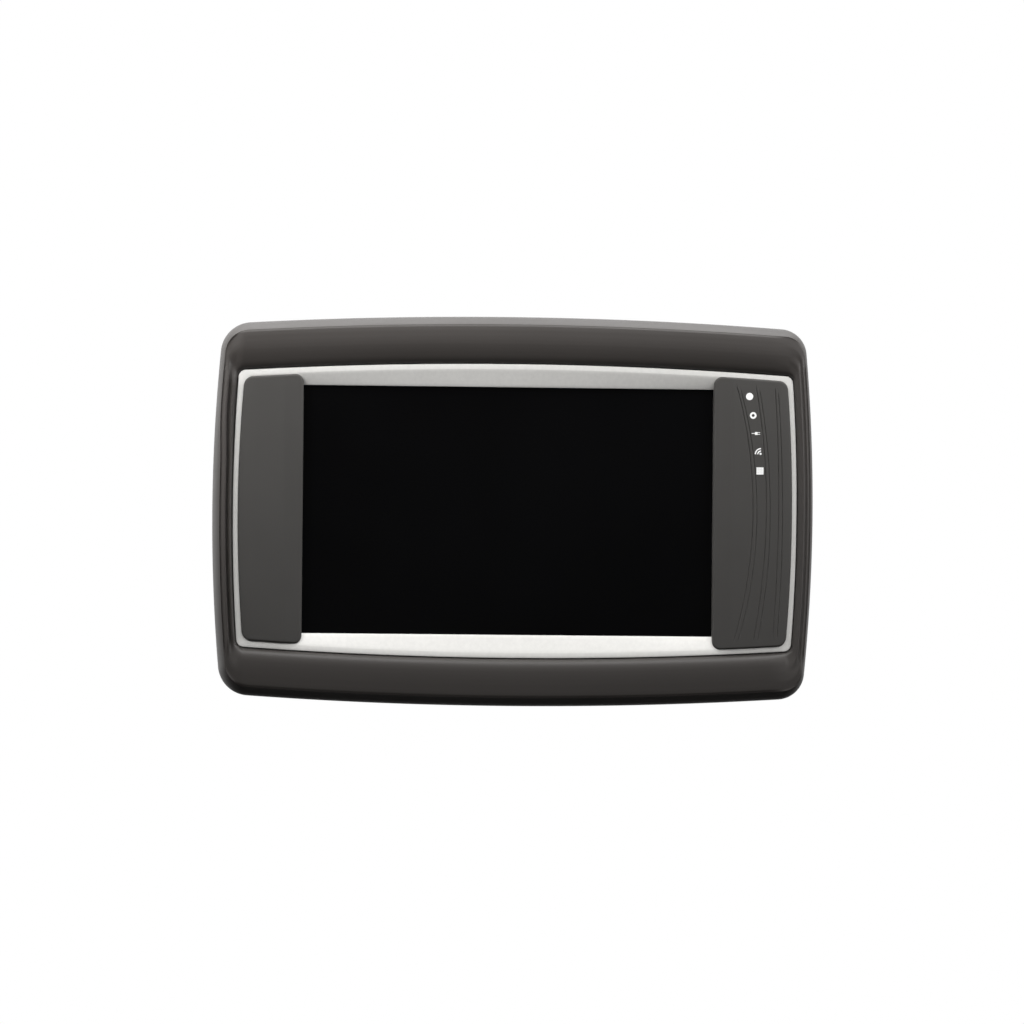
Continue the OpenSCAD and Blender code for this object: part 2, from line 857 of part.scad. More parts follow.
module cover_glass() {
    color("#060607")
        slab(glass_front, glass_back)
            translate([screen_x, 0])
                round_rect(glass_w, glass_h, glass_corner_r);
}

module optical_bond() {
    color("#dfe7ea", 0.4)
        slab(glass_back, bond_back)
            translate([screen_x, 0])
                square([cell_w, cell_h], center = true);
}

module lcd_cell() {
    color("#101216")
        slab(bond_back, cell_back)
            translate([screen_x, 0])
                square([cell_w, cell_h], center = true);
}

module backlight_stack() {
    color("#eef0ee")
        slab(cell_back, backlight_back)
            translate([screen_x, 0])
                square([tray_w - 2 * tray_t - 0.3, tray_h - 2 * tray_t - 0.3], center = true);
}

// Folded sheet tray with four screw ears
module lcd_tray() {
    color("#b9bcbe")
        difference() {
            union() {
                slab(plate_back + 0.1, tray_back)
                    translate([screen_x, 0])
                        square([tray_w, tray_h], center = true);
                slab(tray_back - tray_t, tray_back)
                    at(ear_places) {
                        circle(ear_r);
                        square([2 * (ear_reach + 1), 2 * ear_r], center = true);
                    }
            }
            slab(0, backlight_back)
                translate([screen_x, 0])
                    square([tray_w - 2 * tray_t, tray_h - 2 * tray_t], center = true);
            slab(0, tray_back + 1)
                at(ear_places) circle(small_screw_r + slip);
        }
}
ear_r = 3.2;

// A small screw: its head's seat is at one depth, its tip at a lesser one
module small_screw(tip, seat) {
    head_h = small_head_r * 2 / 3;
    difference() {
        union() {
            slab(tip, seat + head_h / 2) circle(small_screw_r);
            slab(seat, seat + head_h) circle(small_head_r);
        }
        slab(seat + head_h / 2, seat + head_h + 1) circle(small_head_r / 2, $fn = 6);
    }
}

module lcd_screws() {
    color("#9a9da0") at_depth(ear_places) small_screw(plate_back + 0.4, tray_back);
}

// Copies of a solid at places given as [x, z]
module at_depth(places) {
    for (p = places)
        translate([p[0], 0, p[1]])
            children();
}

lcd_ribbon_w = 20;
lcd_ribbon_x = screen_x - 20;
lcd_header_z = -board_h / 2 + 9;

// From the tray's back round the chassis sheet's lower edge to the main board
module lcd_ribbon() {
    low = -chassis_h / 2 - 1.5;
    strip = lcd_ribbon_x - lcd_ribbon_w / 2;
    color("#c9a66b") {
        slab(tray_back, tray_back + ribbon_t)
            translate([strip, low]) square([lcd_ribbon_w, lcd_header_z - low]);
        slab(tray_back, header_face)
            translate([strip, low]) square([lcd_ribbon_w, ribbon_t]);
        slab(header_face - ribbon_t, header_face)
            translate([strip, low]) square([lcd_ribbon_w, lcd_header_z + header_w / 2 - low]);
    }
}

// ---------------------------------------------------------------- chassis

module front_housing() {
    small_boss_r = small_screw_r + 1.6;
    color("#262626")
        difference() {
            union() {
                slab(trim_back, plate_back) polygon(body_outline(housing_inset));
                slab(plate_back - 0.5, housing_back)
                    difference() {
                        polygon(body_outline(housing_inset));
                        polygon(body_outline(inner_inset));
                    }
                slab(plate_back - 0.5, seam_back) at(cover_screw_places) circle(cover_boss_r);
                slab(plate_back - 0.5, tray_back - tray_t) at(ear_places) circle(small_boss_r);
                slab(plate_back - 0.5, chassis_front) at(chassis_places) circle(small_boss_r + 1);
                slab(plate_back - 0.5, indicator_front) at(indicator_screw_places) circle(small_boss_r);
            }
            // the pocket that the glass sits in, and the window behind it
            slab(0, glass_back)
                translate([screen_x, 0])
                    round_rect(glass_w + 2 * clearance, glass_h + 2 * clearance, glass_corner_r + clearance);
            slab(0, plate_back + 1)
                translate([screen_x, 0])
                    square([cell_w + 2 * ledge_gap, cell_h + 2 * ledge_gap], center = true);
            slab(0, plate_back + 1) guide_shape(clearance);
            // screw holes
            slab(plate_back + 3, seam_back + 1) at(cover_screw_places) circle(cover_screw_r + thread_gap);
            slab(plate_back - 1, tray_back) at(ear_places) circle(small_screw_r + thread_gap);
            slab(plate_back, chassis_back) at(chassis_places) circle(small_screw_r + thread_gap);
            slab(plate_back - 1, indicator_front + 1)
                at(indicator_screw_places) circle(small_screw_r + thread_gap);
            // room for the panel's tray
            slab(plate_back, tray_back + 1)
                translate([screen_x, 0])
                    square([tray_w + 2 * clearance, tray_h + 2 * clearance], center = true);
        }
}

module foam_pads() {
    color("#2a2a2c")
        slab(tray_back, chassis_front)
            for (sx = [-1, 1], sz = [-1, 1])
                translate([screen_x + sx * tray_w / 3, sz * tray_h / 3])
                    square([18, 10], center = true);
}

module chassis_sheet() {
    color("#c3c6c8")
        difference() {
            slab(chassis_front, chassis_back) round_rect(chassis_w, chassis_h, sheet_corner_r);
            slab(0, body_depth) {
                at(chassis_places) circle(small_screw_r + slip);
                at(board_places) circle(small_screw_r + slip);
                at(ear_places) circle(ear_r + 0.4);
                at(cover_screw_places) circle(cover_boss_r + 0.5);
                // a slot for the indicator board's flat cable
                translate([indicator_middle[0], indicator_ribbon_z])
                    square([indicator_ribbon_w + 3, 3], center = true);
            }
        }
}

module chassis_screws() {
    color("#9a9da0") {
        at_depth(chassis_places) small_screw(plate_back + 0.6, chassis_back);
        at_depth(indicator_screw_places) small_screw(plate_back - 0.8, indicator_front + board_t / 2);
    }
}

module board_spacers() {
    color("#c9b458")
        difference() {
            slab(chassis_back, board_front) at(board_places) circle(small_screw_r + 1.7, $fn = 6);
            slab(chassis_back - 1, board_front + 1) at(board_places) circle(small_screw_r + thread_gap);
        }
}

module board_screws() {
    color("#9a9da0") at_depth(board_places) small_screw(board_front - spacer_h / 2, board_back);
}

// ---------------------------------------------------------------- main board

module main_board() {
    color("#17603a")
        difference() {
            slab(board_front, board_back) round_rect(board_w, board_h, sheet_corner_r);
            slab(0, body_depth) at(board_places) circle(small_screw_r + slip);
        }
}

// Corner of the main board that its pieces are placed from: upper left
board_corner = [-board_w, board_h] / 2;
processor_place = [8, board_corner[1] - 34];

module processor() {
    color("#2b2d30")
        slab(board_back, board_back + processor_t)
            translate(processor_place) square(processor_w, center = true);
}

module thermal_pad() {
    top = board_back + processor_t;
    color("#8fa7b8")
        slab(top, top + thermal_pad_t)
            translate(processor_place) square(processor_w - 1, center = true);
}

module memory_chips() {
    color("#1f2022")
        slab(board_back, board_back + 1.1)
            for (i = [-1, 1])
                translate(processor_place + [processor_w / 2 + memory_w, i * (memory_h + 3) / 2])
                    square([memory_w, memory_h], center = true);
}

module power_inductors() {
    color("#3c3f42")
        slab(board_back, board_back + inductor_h)
            for (i = [0:2])
                translate(board_corner + [16 + (inductor_w + 4) * i, -28])
                    round_rect(inductor_w, inductor_w, 1);
}

module capacitors() {
    color("#b8bbbf")
        slab(board_back, board_back + capacitor_h)
            for (i = [0:3])
                translate(board_corner + [15 + (2 * capacitor_r + 3.6) * i, -42]) circle(capacitor_r);
}

speaker_header = [speaker_x + speaker_r + 9, speaker_z + 8];
speaker_header_top = board_back + 4;

// Small plug headers for the two flat cables and the speaker lead
module board_headers() {
    color("#e6e2d4") {
        slab(header_face, board_front) {
            translate([lcd_ribbon_x, lcd_header_z])
                square([lcd_ribbon_w + 4, header_w], center = true);
            translate([indicator_header_x, indicator_ribbon_z])
                square([header_w, indicator_ribbon_w + 3], center = true);
        }
        slab(board_back, speaker_header_top)
            translate(speaker_header) square([8, 5], center = true);
    }
}

wireless_place = [board_w / 2 - 44, 18 - board_h / 2];
wireless_top = board_back + 2.3;

module wireless_module() {
    color("#c9ccd0")
        slab(board_back, wireless_top)
            translate(wireless_place) square([wireless_w, wireless_w - 4], center = true);
}

coin_place = board_corner + [56, -14];
coin_floor = board_back + 1.2;

module coin_cell() {
    color("#d5d7d8")
        slab(coin_floor, coin_floor + coin_t)
            translate(coin_place) circle(coin_r);
}

module coin_cell_holder() {
    color("#1c1c1e")
        difference() {
            slab(board_back, coin_floor + coin_t - 1) translate(coin_place) circle(coin_r + 1.4);
            slab(coin_floor, coin_floor + coin_t) translate(coin_place) circle(coin_r + 0.1);
        }
}

// ---------------------------------------------------------------- power key

// A round solid along Z between two heights, on the power key's axis
module on_key_axis(low, high) {
    translate([key_x, key_depth - body_depth, low])
        linear_extrude(high - low)
            children();
}

key_floor = key_boss_top - key_hole_depth;    // underside of the boss's collar
key_rest_gap = 0.1;
plunger_top = switch_top + plunger_len + key_travel;

module power_key() {
    color("#2e2e2f")
        difference() {
            union() {
                on_key_axis(key_floor - key_rest_gap, key_boss_top + key_proud) circle(key_r);
                on_key_axis(key_floor - key_rest_gap - key_flange_t, key_floor - key_rest_gap)
                    circle(key_flange_r);
                on_key_axis(plunger_top, key_floor) circle(key_stem_r);
            }
            // a shallow dish for the fingertip
            translate([key_x, key_depth - body_depth, key_boss_top + key_proud + key_dish_r - 0.5])
                sphere(key_dish_r, $fn = 64);
        }
}
key_dish_r = 16;

module switch_plunger() {
    color("#e8e4da")
        on_key_axis(switch_top - plunger_len - 0.6, plunger_top) circle(plunger_r);
}

module key_switch() {
    color("#222325")
        difference() {
            translate([key_x - switch_w / 2, board_back - body_depth, switch_top - switch_h])
                cube([switch_w, switch_w + 0.4, switch_h]);
            on_key_axis(switch_top - plunger_len - 0.6 - key_travel - 0.4, switch_top + 1)
                circle(plunger_r + slip / 2);
        }
}

// ---------------------------------------------------------------- port door

// A flat drawing seen from above (X across, depth downwards), between two heights
module level(low, high) {
    translate([0, -body_depth, low])
        linear_extrude(high - low)
            children();
}

door_low = door_z - door_len / 2;
door_high = door_z + door_len / 2;
door_front = door_depth - door_w / 2;

module door_leaf_shape(gap = 0) {
    translate([door_face_x - door_t - gap, door_front - gap])
        square([door_t + 2 * gap, door_hinge_depth - door_front + gap]);
}

module port_door() {
    barrel = door_len - 2 * door_ear - 2 * slip;
    color("#232324")
        difference() {
            union() {
                level(door_low, door_high)
                    intersection() {
                        door_leaf_shape();
                        square([body_w, door_hinge_depth - door_barrel_r - slip]);
                    }
                level(door_z - barrel / 2, door_z + barrel / 2) {
                    door_leaf_shape();
                    translate([door_hinge_x, door_hinge_depth]) circle(door_barrel_r);
                }
            }
            level(door_low - 1, door_high + 1)
                translate([door_hinge_x, door_hinge_depth]) circle(door_pin_r + pin_gap);
            // a scoop for the fingernail
            translate([door_face_x + 1.2, door_front - body_depth, door_z])
                cylinder(r = 2.2, h = 9, center = true);
        }
}

module door_hinge_pin() {
    color("#a9acaf")
        level(door_low + 0.4, door_high - 0.4)
            translate([door_hinge_x, door_hinge_depth]) circle(door_pin_r);
}

// The block on the tub's side that frames the door
module port_block() {
    level(door_low - port_block_wall, door_high + port_block_wall)
        translate([tub_w / 2 - tub_draft - tub_wall - 1, door_front - port_block_wall])
            square([
                door_face_x - tub_w / 2 + tub_draft + tub_wall + 1,
                door_w + port_block_wall,
            ]);
}

module port_block_cuts() {
    // recess of the leaf; two round knuckles stay at its ends
    level(door_low - slip, door_high + slip)
        difference() {
            union() {
                translate([door_face_x - door_t - slip, door_front - slip])
                    square([door_t + 2, door_hinge_depth - door_front + slip]);
                translate([door_hinge_x, door_hinge_depth - 1])
                    square([door_t + 2, door_barrel_r + 2]);
            }
            translate([door_hinge_x, door_hinge_depth]) circle(door_barrel_r);
        }
    // room for the hinge barrel, open to the back
    level(door_low + door_ear, door_high - door_ear) {
        translate([door_hinge_x, door_hinge_depth]) circle(door_barrel_r + slip);
        translate([door_hinge_x - door_barrel_r - slip, door_hinge_depth - door_barrel_r - slip])
            square([door_barrel_r * 3, door_barrel_r * 3]);
    }
    // the ears' bores
    level(door_low + 0.3, door_high - 0.3)
        translate([door_hinge_x, door_hinge_depth]) circle(door_pin_r + thread_gap);
    // the socket's way through the wall
    translate([tub_w / 2 - 12, board_back - clearance - body_depth, door_z - usb_w / 2 - clearance])
        cube([14, usb_h + 2 * clearance, usb_w + 2 * clearance]);
}

module usb_shell() {
    color("#b9bcbf")
        difference() {
            translate([usb_mouth_x - usb_len, board_back - body_depth, door_z - usb_w / 2])
                cube([usb_len, usb_h, usb_w]);
            translate([
                usb_mouth_x - usb_len + 1,
                board_back + usb_wall - body_depth,
                door_z - usb_w / 2 + usb_wall,
            ])
                cube([usb_len, usb_h - 2 * usb_wall, usb_w - 2 * usb_wall]);
        }
}

module usb_tongue() {
    tongue_t = 1.84;
    color("#f0efe9")
        translate([usb_mouth_x - usb_len + 1, board_back + usb_wall + 0.7 - body_depth, door_z - 5.5])
            cube([usb_len - 3, tongue_t, 11]);
}

// ---------------------------------------------------------------- connectors

// A flat drawing seen from below (X across, depth), between two distances down
module below(near, far) {
    translate([0, -body_depth, -far])
        linear_extrude(far - near)
            children();
}

module plug_rect(grow) {
    translate([plug_x, plug_center])
        square([plug_w + 2 * grow, plug_h + 2 * grow], center = true);
}

module main_connector() {
    base = board_h / 2 - 2.4;
    color("#1c1c1d")
        difference() {
            below(base, plug_mouth) plug_rect(plug_wall);
            below(plug_mouth - plug_depth, plug_mouth + 1) plug_rect(0);
            // keyway, so that the plug goes in one way
            below(plug_mouth - plug_depth / 2, plug_mouth + 1)
                translate([plug_x + plug_w / 4, plug_center + plug_h / 2])
                    square([3, plug_wall], center = true);
        }
}

pin_pitch = (plug_w - 4) / plug_pins;
module main_connector_pins() {
    root = plug_mouth - plug_depth;
    color("#cdb15a")
        below(root, root + pin_len)
            for (i = [0:plug_pins - 1], row = [-1, 1])
                translate([
                    plug_x + (i - (plug_pins - 1) / 2) * pin_pitch,
                    plug_center + row * plug_h / 5,
                ])
                    square(0.9, center = true);
}

seal_ring_t = 1.4;
module connector_seal() {
    color("#a8472f")
        below(plinth_face, plinth_face + seal_ring_t)
            difference() {
                plug_rect(plug_wall + 1.3);
                plug_rect(plug_wall + 0.05);
            }
}

module coax_circle(r, fn = 48) {
    translate([coax_x, coax_depth]) circle(r, $fn = fn);
}

coax_mouth = plinth_face + coax_len;
coax_root = board_h / 2 - 4;
coax_root_r = coax_r - 0.2;                     // root of the thread, left bare under the nut
coax_relief = plinth_face + coax_nut_t + 0.3;   // where the full thread starts
coax_bore_r = 2.1;

module coax_socket() {
    color("#c9a94e")
        difference() {
            union() {
                below(plinth_face - tub_wall - coax_flange_t, plinth_face - tub_wall)
                    coax_circle(coax_r + 1.8, 6);
                below(coax_root, coax_relief) coax_circle(coax_root_r);
                below(coax_relief, coax_mouth) coax_circle(coax_r);
            }
            below(coax_mouth - 6, coax_mouth + 1) coax_circle(coax_bore_r);
        }
}

module coax_insulator() {
    color("#f4f3ee")
        difference() {
            below(coax_mouth - 6, coax_mouth - 1.6) coax_circle(coax_bore_r - 0.02);
            below(coax_mouth - 5, coax_mouth) coax_circle(0.5);
        }
}

module coax_nut() {
    color("#c4c6c8")
        difference() {
            below(plinth_face, plinth_face + coax_nut_t) coax_circle(coax_r + 1.7, 6);
            below(plinth_face - 1, plinth_face + coax_nut_t + 1) coax_circle(coax_root_r + thread_gap);
        }
}

// A thin round lead through points given as [x, depth, z]
module lead(points, r) {
    for (i = [0:len(points) - 1]) {
        a = points[i];
        translate(a - [0, body_depth, 0]) sphere(r * 1.06);
        if (i < len(points) - 1) {
            step = points[i + 1] - a;
            translate(a - [0, body_depth, 0])
                rotate([0, acos(step[2] / norm(step)), atan2(step[1], step[0])])
                    cylinder(r = r, h = norm(step));
        }
    }
}

antenna_lead_r = 0.6;
module antenna_lead() {
    r = antenna_lead_r;
    end = [wireless_place[0] - 4, wireless_top + r, wireless_place[1] - 2];
    color("#3a3a3a")
        lead([
            [coax_x, coax_depth, -coax_root + r],
            [coax_x, coax_depth, -coax_root + 6],
            end + [0, 3, 0],
            end,
        ], r);
}

speaker_lead_r = 0.5;
module speaker_lead() {
    r = speaker_lead_r;
    start = [speaker_x + 10, speaker_front - r, speaker_z + 3];
    end = [speaker_header[0], speaker_header_top + r, speaker_header[1]];
    color("#3a3a3a")
        lead([start, [start[0], end[1] + 2, start[2]], end + [0, 2, 0], end], r);
}

// ---------------------------------------------------------------- rear

speaker_front = tub_floor - speaker_ring_t - 1.5;

module speaker() {
    magnet_r = speaker_r * 0.55;
    back = tub_floor - speaker_ring_t;
    color("#2c2c2e")
        translate([speaker_x, 0, speaker_z])
            difference() {
                union() {
                    slab(speaker_front, back) circle(speaker_r);
                    slab(back - speaker_h, back - 1) circle(magnet_r);
                }
                slab(back - 1, back + 1) circle(speaker_r - 2);
            }
}

module speaker_ring() {
    color("#101010")
        slab(tub_floor - speaker_ring_t, tub_floor)
            translate([speaker_x, speaker_z])
                difference() {
                    circle(speaker_r);
                    circle(speaker_r - 1.8);
                }
}

module housing_seal() {
    edge = 0.4;
    color("#141414")
        slab(housing_back, seam_back)
            difference() {
                polygon(body_outline(housing_inset + [edge, edge]));
                polygon(body_outline(housing_inset + [edge + seal_w, edge + seal_w]));
            }
}

// The tub's form: a wide foot, drafted walls and a sloped shoulder
module tub_form(front, back, shrink) {
    thin = 0.01;
    shoulder_depth = back - 5;
    loss = shrink + tub_draft;
    hull() {
        slab(front, front + thin)
            round_rect(tub_w - 2 * shrink, tub_h - 2 * shrink, tub_r - shrink, $fn = 64);
        slab(shoulder_depth - thin, shoulder_depth)
            round_rect(tub_w - 2 * loss, tub_h - 2 * loss, tub_r - loss, $fn = 64);
        slab(back - thin, back)
            round_rect(
                tub_w - 2 * (loss + tub_shoulder),
                tub_h - 2 * (loss + tub_shoulder),
                max(2, tub_r - loss - tub_shoulder / 2),
                $fn = 64
            );
    }
}

module fins() {
    for (sx = [-1, 1], i = [0:fin_count - 1])
        slab(tub_back - 0.5, tub_back + fin_h)
            translate([sx * (fin_inner_x + i * fin_pitch), (fin_bottom + fin_top) / 2])
                round_rect(fin_t, fin_top - fin_bottom, fin_t * 0.45);
}

// Flat-faced plinth under the tub, for the connectors
module plinth() {
    below(tub_h / 2 - tub_draft - tub_wall, plinth_face)
        translate([plinth_x[0], flange_back - 0.5])
            square([plinth_x[1] - plinth_x[0], plinth_back - flange_back + 0.5]);
}

module plinth_cuts() {
    inner = plinth_face - tub_wall;
    // the room behind the plinth's face
    below(tub_h / 2 - tub_draft - tub_wall - 5, inner)
        translate([plinth_x[0] + plinth_wall, flange_back + 1])
            square([
                plinth_x[1] - plinth_x[0] - 2 * plinth_wall,
                plinth_back - plinth_wall - flange_back - 1,
            ]);
    below(inner - 1, plinth_face + 1) {
        plug_rect(plug_wall + clearance);
        coax_circle(coax_r + clearance);
    }
}

module speaker_slots() {
    slot = 1.8;
    for (i = [-2:2]) {
        half = sqrt(pow(speaker_r - 3, 2) - pow(i * 4, 2));
        translate([speaker_x, speaker_z + i * 4])
            round_rect(2 * half, slot, slot * 0.45);
    }
}

module rear_cover() {
    color("#2b2b2b")
        difference() {
            union() {
                slab(seam_back, flange_back) polygon(body_outline(flange_inset));
                difference() {
                    tub_form(flange_back - 0.5, tub_back, 0);
                    tub_form(flange_back - 1, tub_floor, tub_wall);
                }
                slab(tub_back - 0.5, body_depth) at(mount_places) circle(pad_r);
                slab(body_depth - insert_len - 2, tub_back) at(mount_places) circle(insert_r + 2);
                fins();
                plinth();
                port_block();
                on_key_axis(key_floor, key_boss_top) circle(key_boss_r);
                // column that takes the processor's heat to the back
                slab(board_back + processor_t + thermal_pad_t, tub_floor + 0.5)
                    translate(processor_place) square(processor_w, center = true);
            }
            // the opening through the flange into the tub
            slab(seam_back - 1, flange_back + 0.5)
                round_rect(tub_w - 2 * tub_wall, tub_h - 2 * tub_wall, tub_r - tub_wall);
            slab(0, body_depth) at(cover_screw_places) circle(cover_screw_r + slip);
            slab(body_depth - insert_len - 0.2, body_depth + 1)
                at(mount_places) circle(insert_r + thread_gap);
            plinth_cuts();
            port_block_cuts();
            on_key_axis(key_floor - 9, key_boss_top + 1) circle(key_r + slip);
            on_key_axis(key_floor - 9, key_floor) circle(key_flange_r + 0.6);
            slab(tub_floor - 1, tub_back + 1) speaker_slots();
            slab(tub_floor - 1, tub_back + 1)
                translate([vent_x, speaker_z]) circle(vent_stem_r + 0.1);
            slab(tub_back - 2 * plate_label_t, tub_back + 1)
                square([plate_label[0] + 0.4, plate_label[1] + 0.4], center = true);
        }
}

module cover_screws() {
    head_h = cover_head_r * 2 / 3;
    color("#8f9295")
        at_depth(cover_screw_places)
            difference() {
                union() {
                    slab(plate_back + 4, flange_back + head_h / 2) circle(cover_screw_r);
                    slab(flange_back, flange_back + head_h) circle(cover_head_r);
                }
                slab(flange_back + head_h / 2, flange_back + head_h + 1)
                    circle(cover_screw_r * 0.75, $fn = 6);
            }
}

module mount_inserts() {
    color("#b8964a")
        at_depth(mount_places)
            difference() {
                slab(body_depth - insert_len, body_depth) circle(insert_r);
                slab(body_depth - insert_len - 1, body_depth + 1) circle(mount_hole_r);
            }
}

module pressure_vent() {
    color("#1d1d1e")
        translate([vent_x, 0, speaker_z]) {
            slab(tub_back, tub_back + 1.6) circle(vent_r);
            slab(tub_floor - 1, tub_back + 0.5) circle(vent_stem_r);
        }
}

module blank_plate() {
    color("#8b8d8f")
        slab(tub_back - 2 * plate_label_t, tub_back - plate_label_t)
            square(plate_label, center = true);
}

// ---------------------------------------------------------------- nodes

bumper_frame();
trim_bezel();
left_grip_cap();
right_grip_cap();
record_icon();
ring_icon();
port_icon();
signal_icon();
menu_icon();
icon_light_guide();
indicator_board();
indicator_leds();
indicator_ribbon();
dust_gasket();
cover_glass();
optical_bond();
lcd_cell();
backlight_stack();
lcd_tray();
lcd_screws();
lcd_ribbon();
front_housing();
foam_pads();
chassis_sheet();
chassis_screws();
board_spacers();
main_board();
board_screws();
processor();
thermal_pad();
memory_chips();
power_inductors();
capacitors();
board_headers();
wireless_module();
coin_cell();
coin_cell_holder();
key_switch();
switch_plunger();
power_key();
usb_shell();
usb_tongue();
port_door();
door_hinge_pin();
main_connector();
main_connector_pins();
connector_seal();
coax_socket();
coax_insulator();
coax_nut();
speaker();
speaker_ring();
housing_seal();
rear_cover();
cover_screws();
mount_inserts();
pressure_vent();
blank_plate();
antenna_lead();
speaker_lead();
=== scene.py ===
"""Looks of the in-vehicle touchscreen display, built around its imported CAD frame.

The frame: the screen faces -Y, +X is the viewer's right, +Z is up, and the origin is the
middle of the rear mounting pattern. Lengths are in metres. A "depth" is measured backwards
from the frontmost point of the bumper, as in the CAD source.
"""

import json
from math import atan2, cos, hypot, pi, radians, sin, sqrt

import bmesh
import bpy
from mathutils import Matrix, Vector
from mathutils.bvhtree import BVHTree


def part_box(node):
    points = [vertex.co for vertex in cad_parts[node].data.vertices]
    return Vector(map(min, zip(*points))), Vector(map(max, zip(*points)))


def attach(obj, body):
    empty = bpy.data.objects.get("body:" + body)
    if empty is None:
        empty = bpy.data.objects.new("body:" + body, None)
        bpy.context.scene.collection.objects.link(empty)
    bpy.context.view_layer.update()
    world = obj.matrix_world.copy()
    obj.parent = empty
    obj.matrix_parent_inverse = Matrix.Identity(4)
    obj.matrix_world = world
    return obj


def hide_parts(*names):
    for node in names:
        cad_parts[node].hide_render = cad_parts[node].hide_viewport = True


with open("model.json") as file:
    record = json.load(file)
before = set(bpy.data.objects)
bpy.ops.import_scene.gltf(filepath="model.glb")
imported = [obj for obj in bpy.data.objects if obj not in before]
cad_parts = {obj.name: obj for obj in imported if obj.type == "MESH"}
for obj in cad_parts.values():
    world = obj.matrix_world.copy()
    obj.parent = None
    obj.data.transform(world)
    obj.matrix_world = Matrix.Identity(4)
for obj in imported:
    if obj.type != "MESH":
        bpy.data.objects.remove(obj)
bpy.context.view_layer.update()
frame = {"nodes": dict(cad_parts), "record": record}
MM = 0.001

# ---------------------------------------------------------------- image points

# The photograph's own frame, and named points on it. None means the point is an edge.
W = H = 1024
L = max(W, H)
POINTS = {
    "object_left": (211.8, None),
    "object_right": (811.4, None),
    "object_top": (None, 317.2),
    "object_bottom": (None, 705.8),
    "trim_top": (517, 364.1),
    "trim_bottom": (514.4, 658.1),
    "window_left": (302.8, 508.8),
    "window_right": (713.2, 513.2),
    "window_top": (516.3, 387.4),
    "window_bottom": (514.1, 635),
    "record_icon": (749.6, 396.5),
    "ring_icon": (753.2, 415.5),
    "port_icon": (756.2, 433.5),
    "signal_icon": (758.5, 451.8),
    "menu_icon": (760, 471),
}

# ---------------------------------------------------------------- camera

CAMERA_YAW = radians(5.60)
CAMERA_PITCH = radians(-1.01)
CAMERA_ROLL = radians(0.509)
CAMERA_DISTANCE = 3.0
CAMERA_LENS = 281.6
SENSOR = 36.0
AIM = Vector((0, -0.023, 0))
AIM_RIGHT = 0.6 * MM
AIM_UP = 0.0


def make_camera():
    """The photograph's view: nearly square to the screen, settled by aim, with no shift."""
    back = Vector((
        -sin(CAMERA_YAW) * cos(CAMERA_PITCH),
        -cos(CAMERA_YAW) * cos(CAMERA_PITCH),
        sin(CAMERA_PITCH),
    ))
    level = (-back).cross(Vector((0, 0, 1))).normalized()
    upright = level.cross(-back)
    right = level * cos(CAMERA_ROLL) + upright * sin(CAMERA_ROLL)
    up = upright * cos(CAMERA_ROLL) - level * sin(CAMERA_ROLL)
    data = bpy.data.cameras.new("camera")
    data.sensor_fit = "AUTO"
    data.sensor_width = SENSOR
    data.lens = CAMERA_LENS
    data.clip_start = 0.1
    data.clip_end = 30
    camera = bpy.data.objects.new("camera", data)
    axes = Matrix((right, up, back)).transposed().to_4x4()
    place = AIM + CAMERA_DISTANCE * back + AIM_RIGHT * right + AIM_UP * up
    camera.matrix_world = Matrix.Translation(place) @ axes
    bpy.context.scene.collection.objects.link(camera)
    bpy.context.scene.camera = camera
    return camera


camera = make_camera()
bpy.context.view_layer.update()


def ray_of(x, y):
    """Where the camera is, and the direction in which it sees an image point."""
    data = camera.data
    across = x - W / 2 + data.shift_x * L
    upward = H / 2 - y + data.shift_y * L
    local = Vector((across, upward, -L * data.lens / data.sensor_width))
    turn = camera.matrix_world.to_3x3()
    return camera.matrix_world.translation.copy(), (turn @ local).normalized()


def on_image(point):
    """The image point at which the camera sees a place."""
    data = camera.data
    seen = camera.matrix_world.inverted() @ Vector(point)
    scale = L * data.lens / data.sensor_width / -seen.z
    return (
        seen.x * scale + W / 2 - data.shift_x * L,
        H / 2 - seen.y * scale + data.shift_y * L,
    )


def surface_of(pieces):
    """A tree of the finished surface of some pieces, in world places."""
    graph = bpy.context.evaluated_depsgraph_get()
    vertices, faces = [], []
    for piece in pieces:
        finished = piece.evaluated_get(graph)
        mesh = finished.to_mesh()
        first = len(vertices)
        vertices += [piece.matrix_world @ v.co for v in mesh.vertices]
        faces += [[first + i for i in p.vertices] for p in mesh.polygons]
        finished.to_mesh_clear()
    return BVHTree.FromPolygons(vertices, faces), vertices


def place_at(point, tree, vertices):
    """The place and the normal where an image point's ray meets a surface, or the nearest."""
    start, way = ray_of(*point)
    place, normal, _, _ = tree.ray_cast(start, way)
    if place is None:
        nearest = min(vertices, key=lambda v: ((v - start) - way * (v - start).dot(way)).length)
        place, normal, _, _ = tree.find_nearest(nearest)
    return place, normal


# ---------------------------------------------------------------- sizes

front_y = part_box("bumper_frame")[0][1]
body_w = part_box("bumper_frame")[1][0] * 2
body_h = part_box("bumper_frame")[1][2] * 2
trim_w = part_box("trim_bezel")[1][0] * 2
trim_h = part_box("trim_bezel")[1][2] * 2
left_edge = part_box("left_grip_cap")[1][0]
right_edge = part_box("right_grip_cap")[0][0]
glass_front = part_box("cover_glass")[0][1] - front_y
trim_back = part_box("trim_bezel")[1][1] - front_y
side_w = (body_w - trim_w) / 2
top_w = (body_h - trim_h) / 2
screen_x = (left_edge + right_edge) / 2

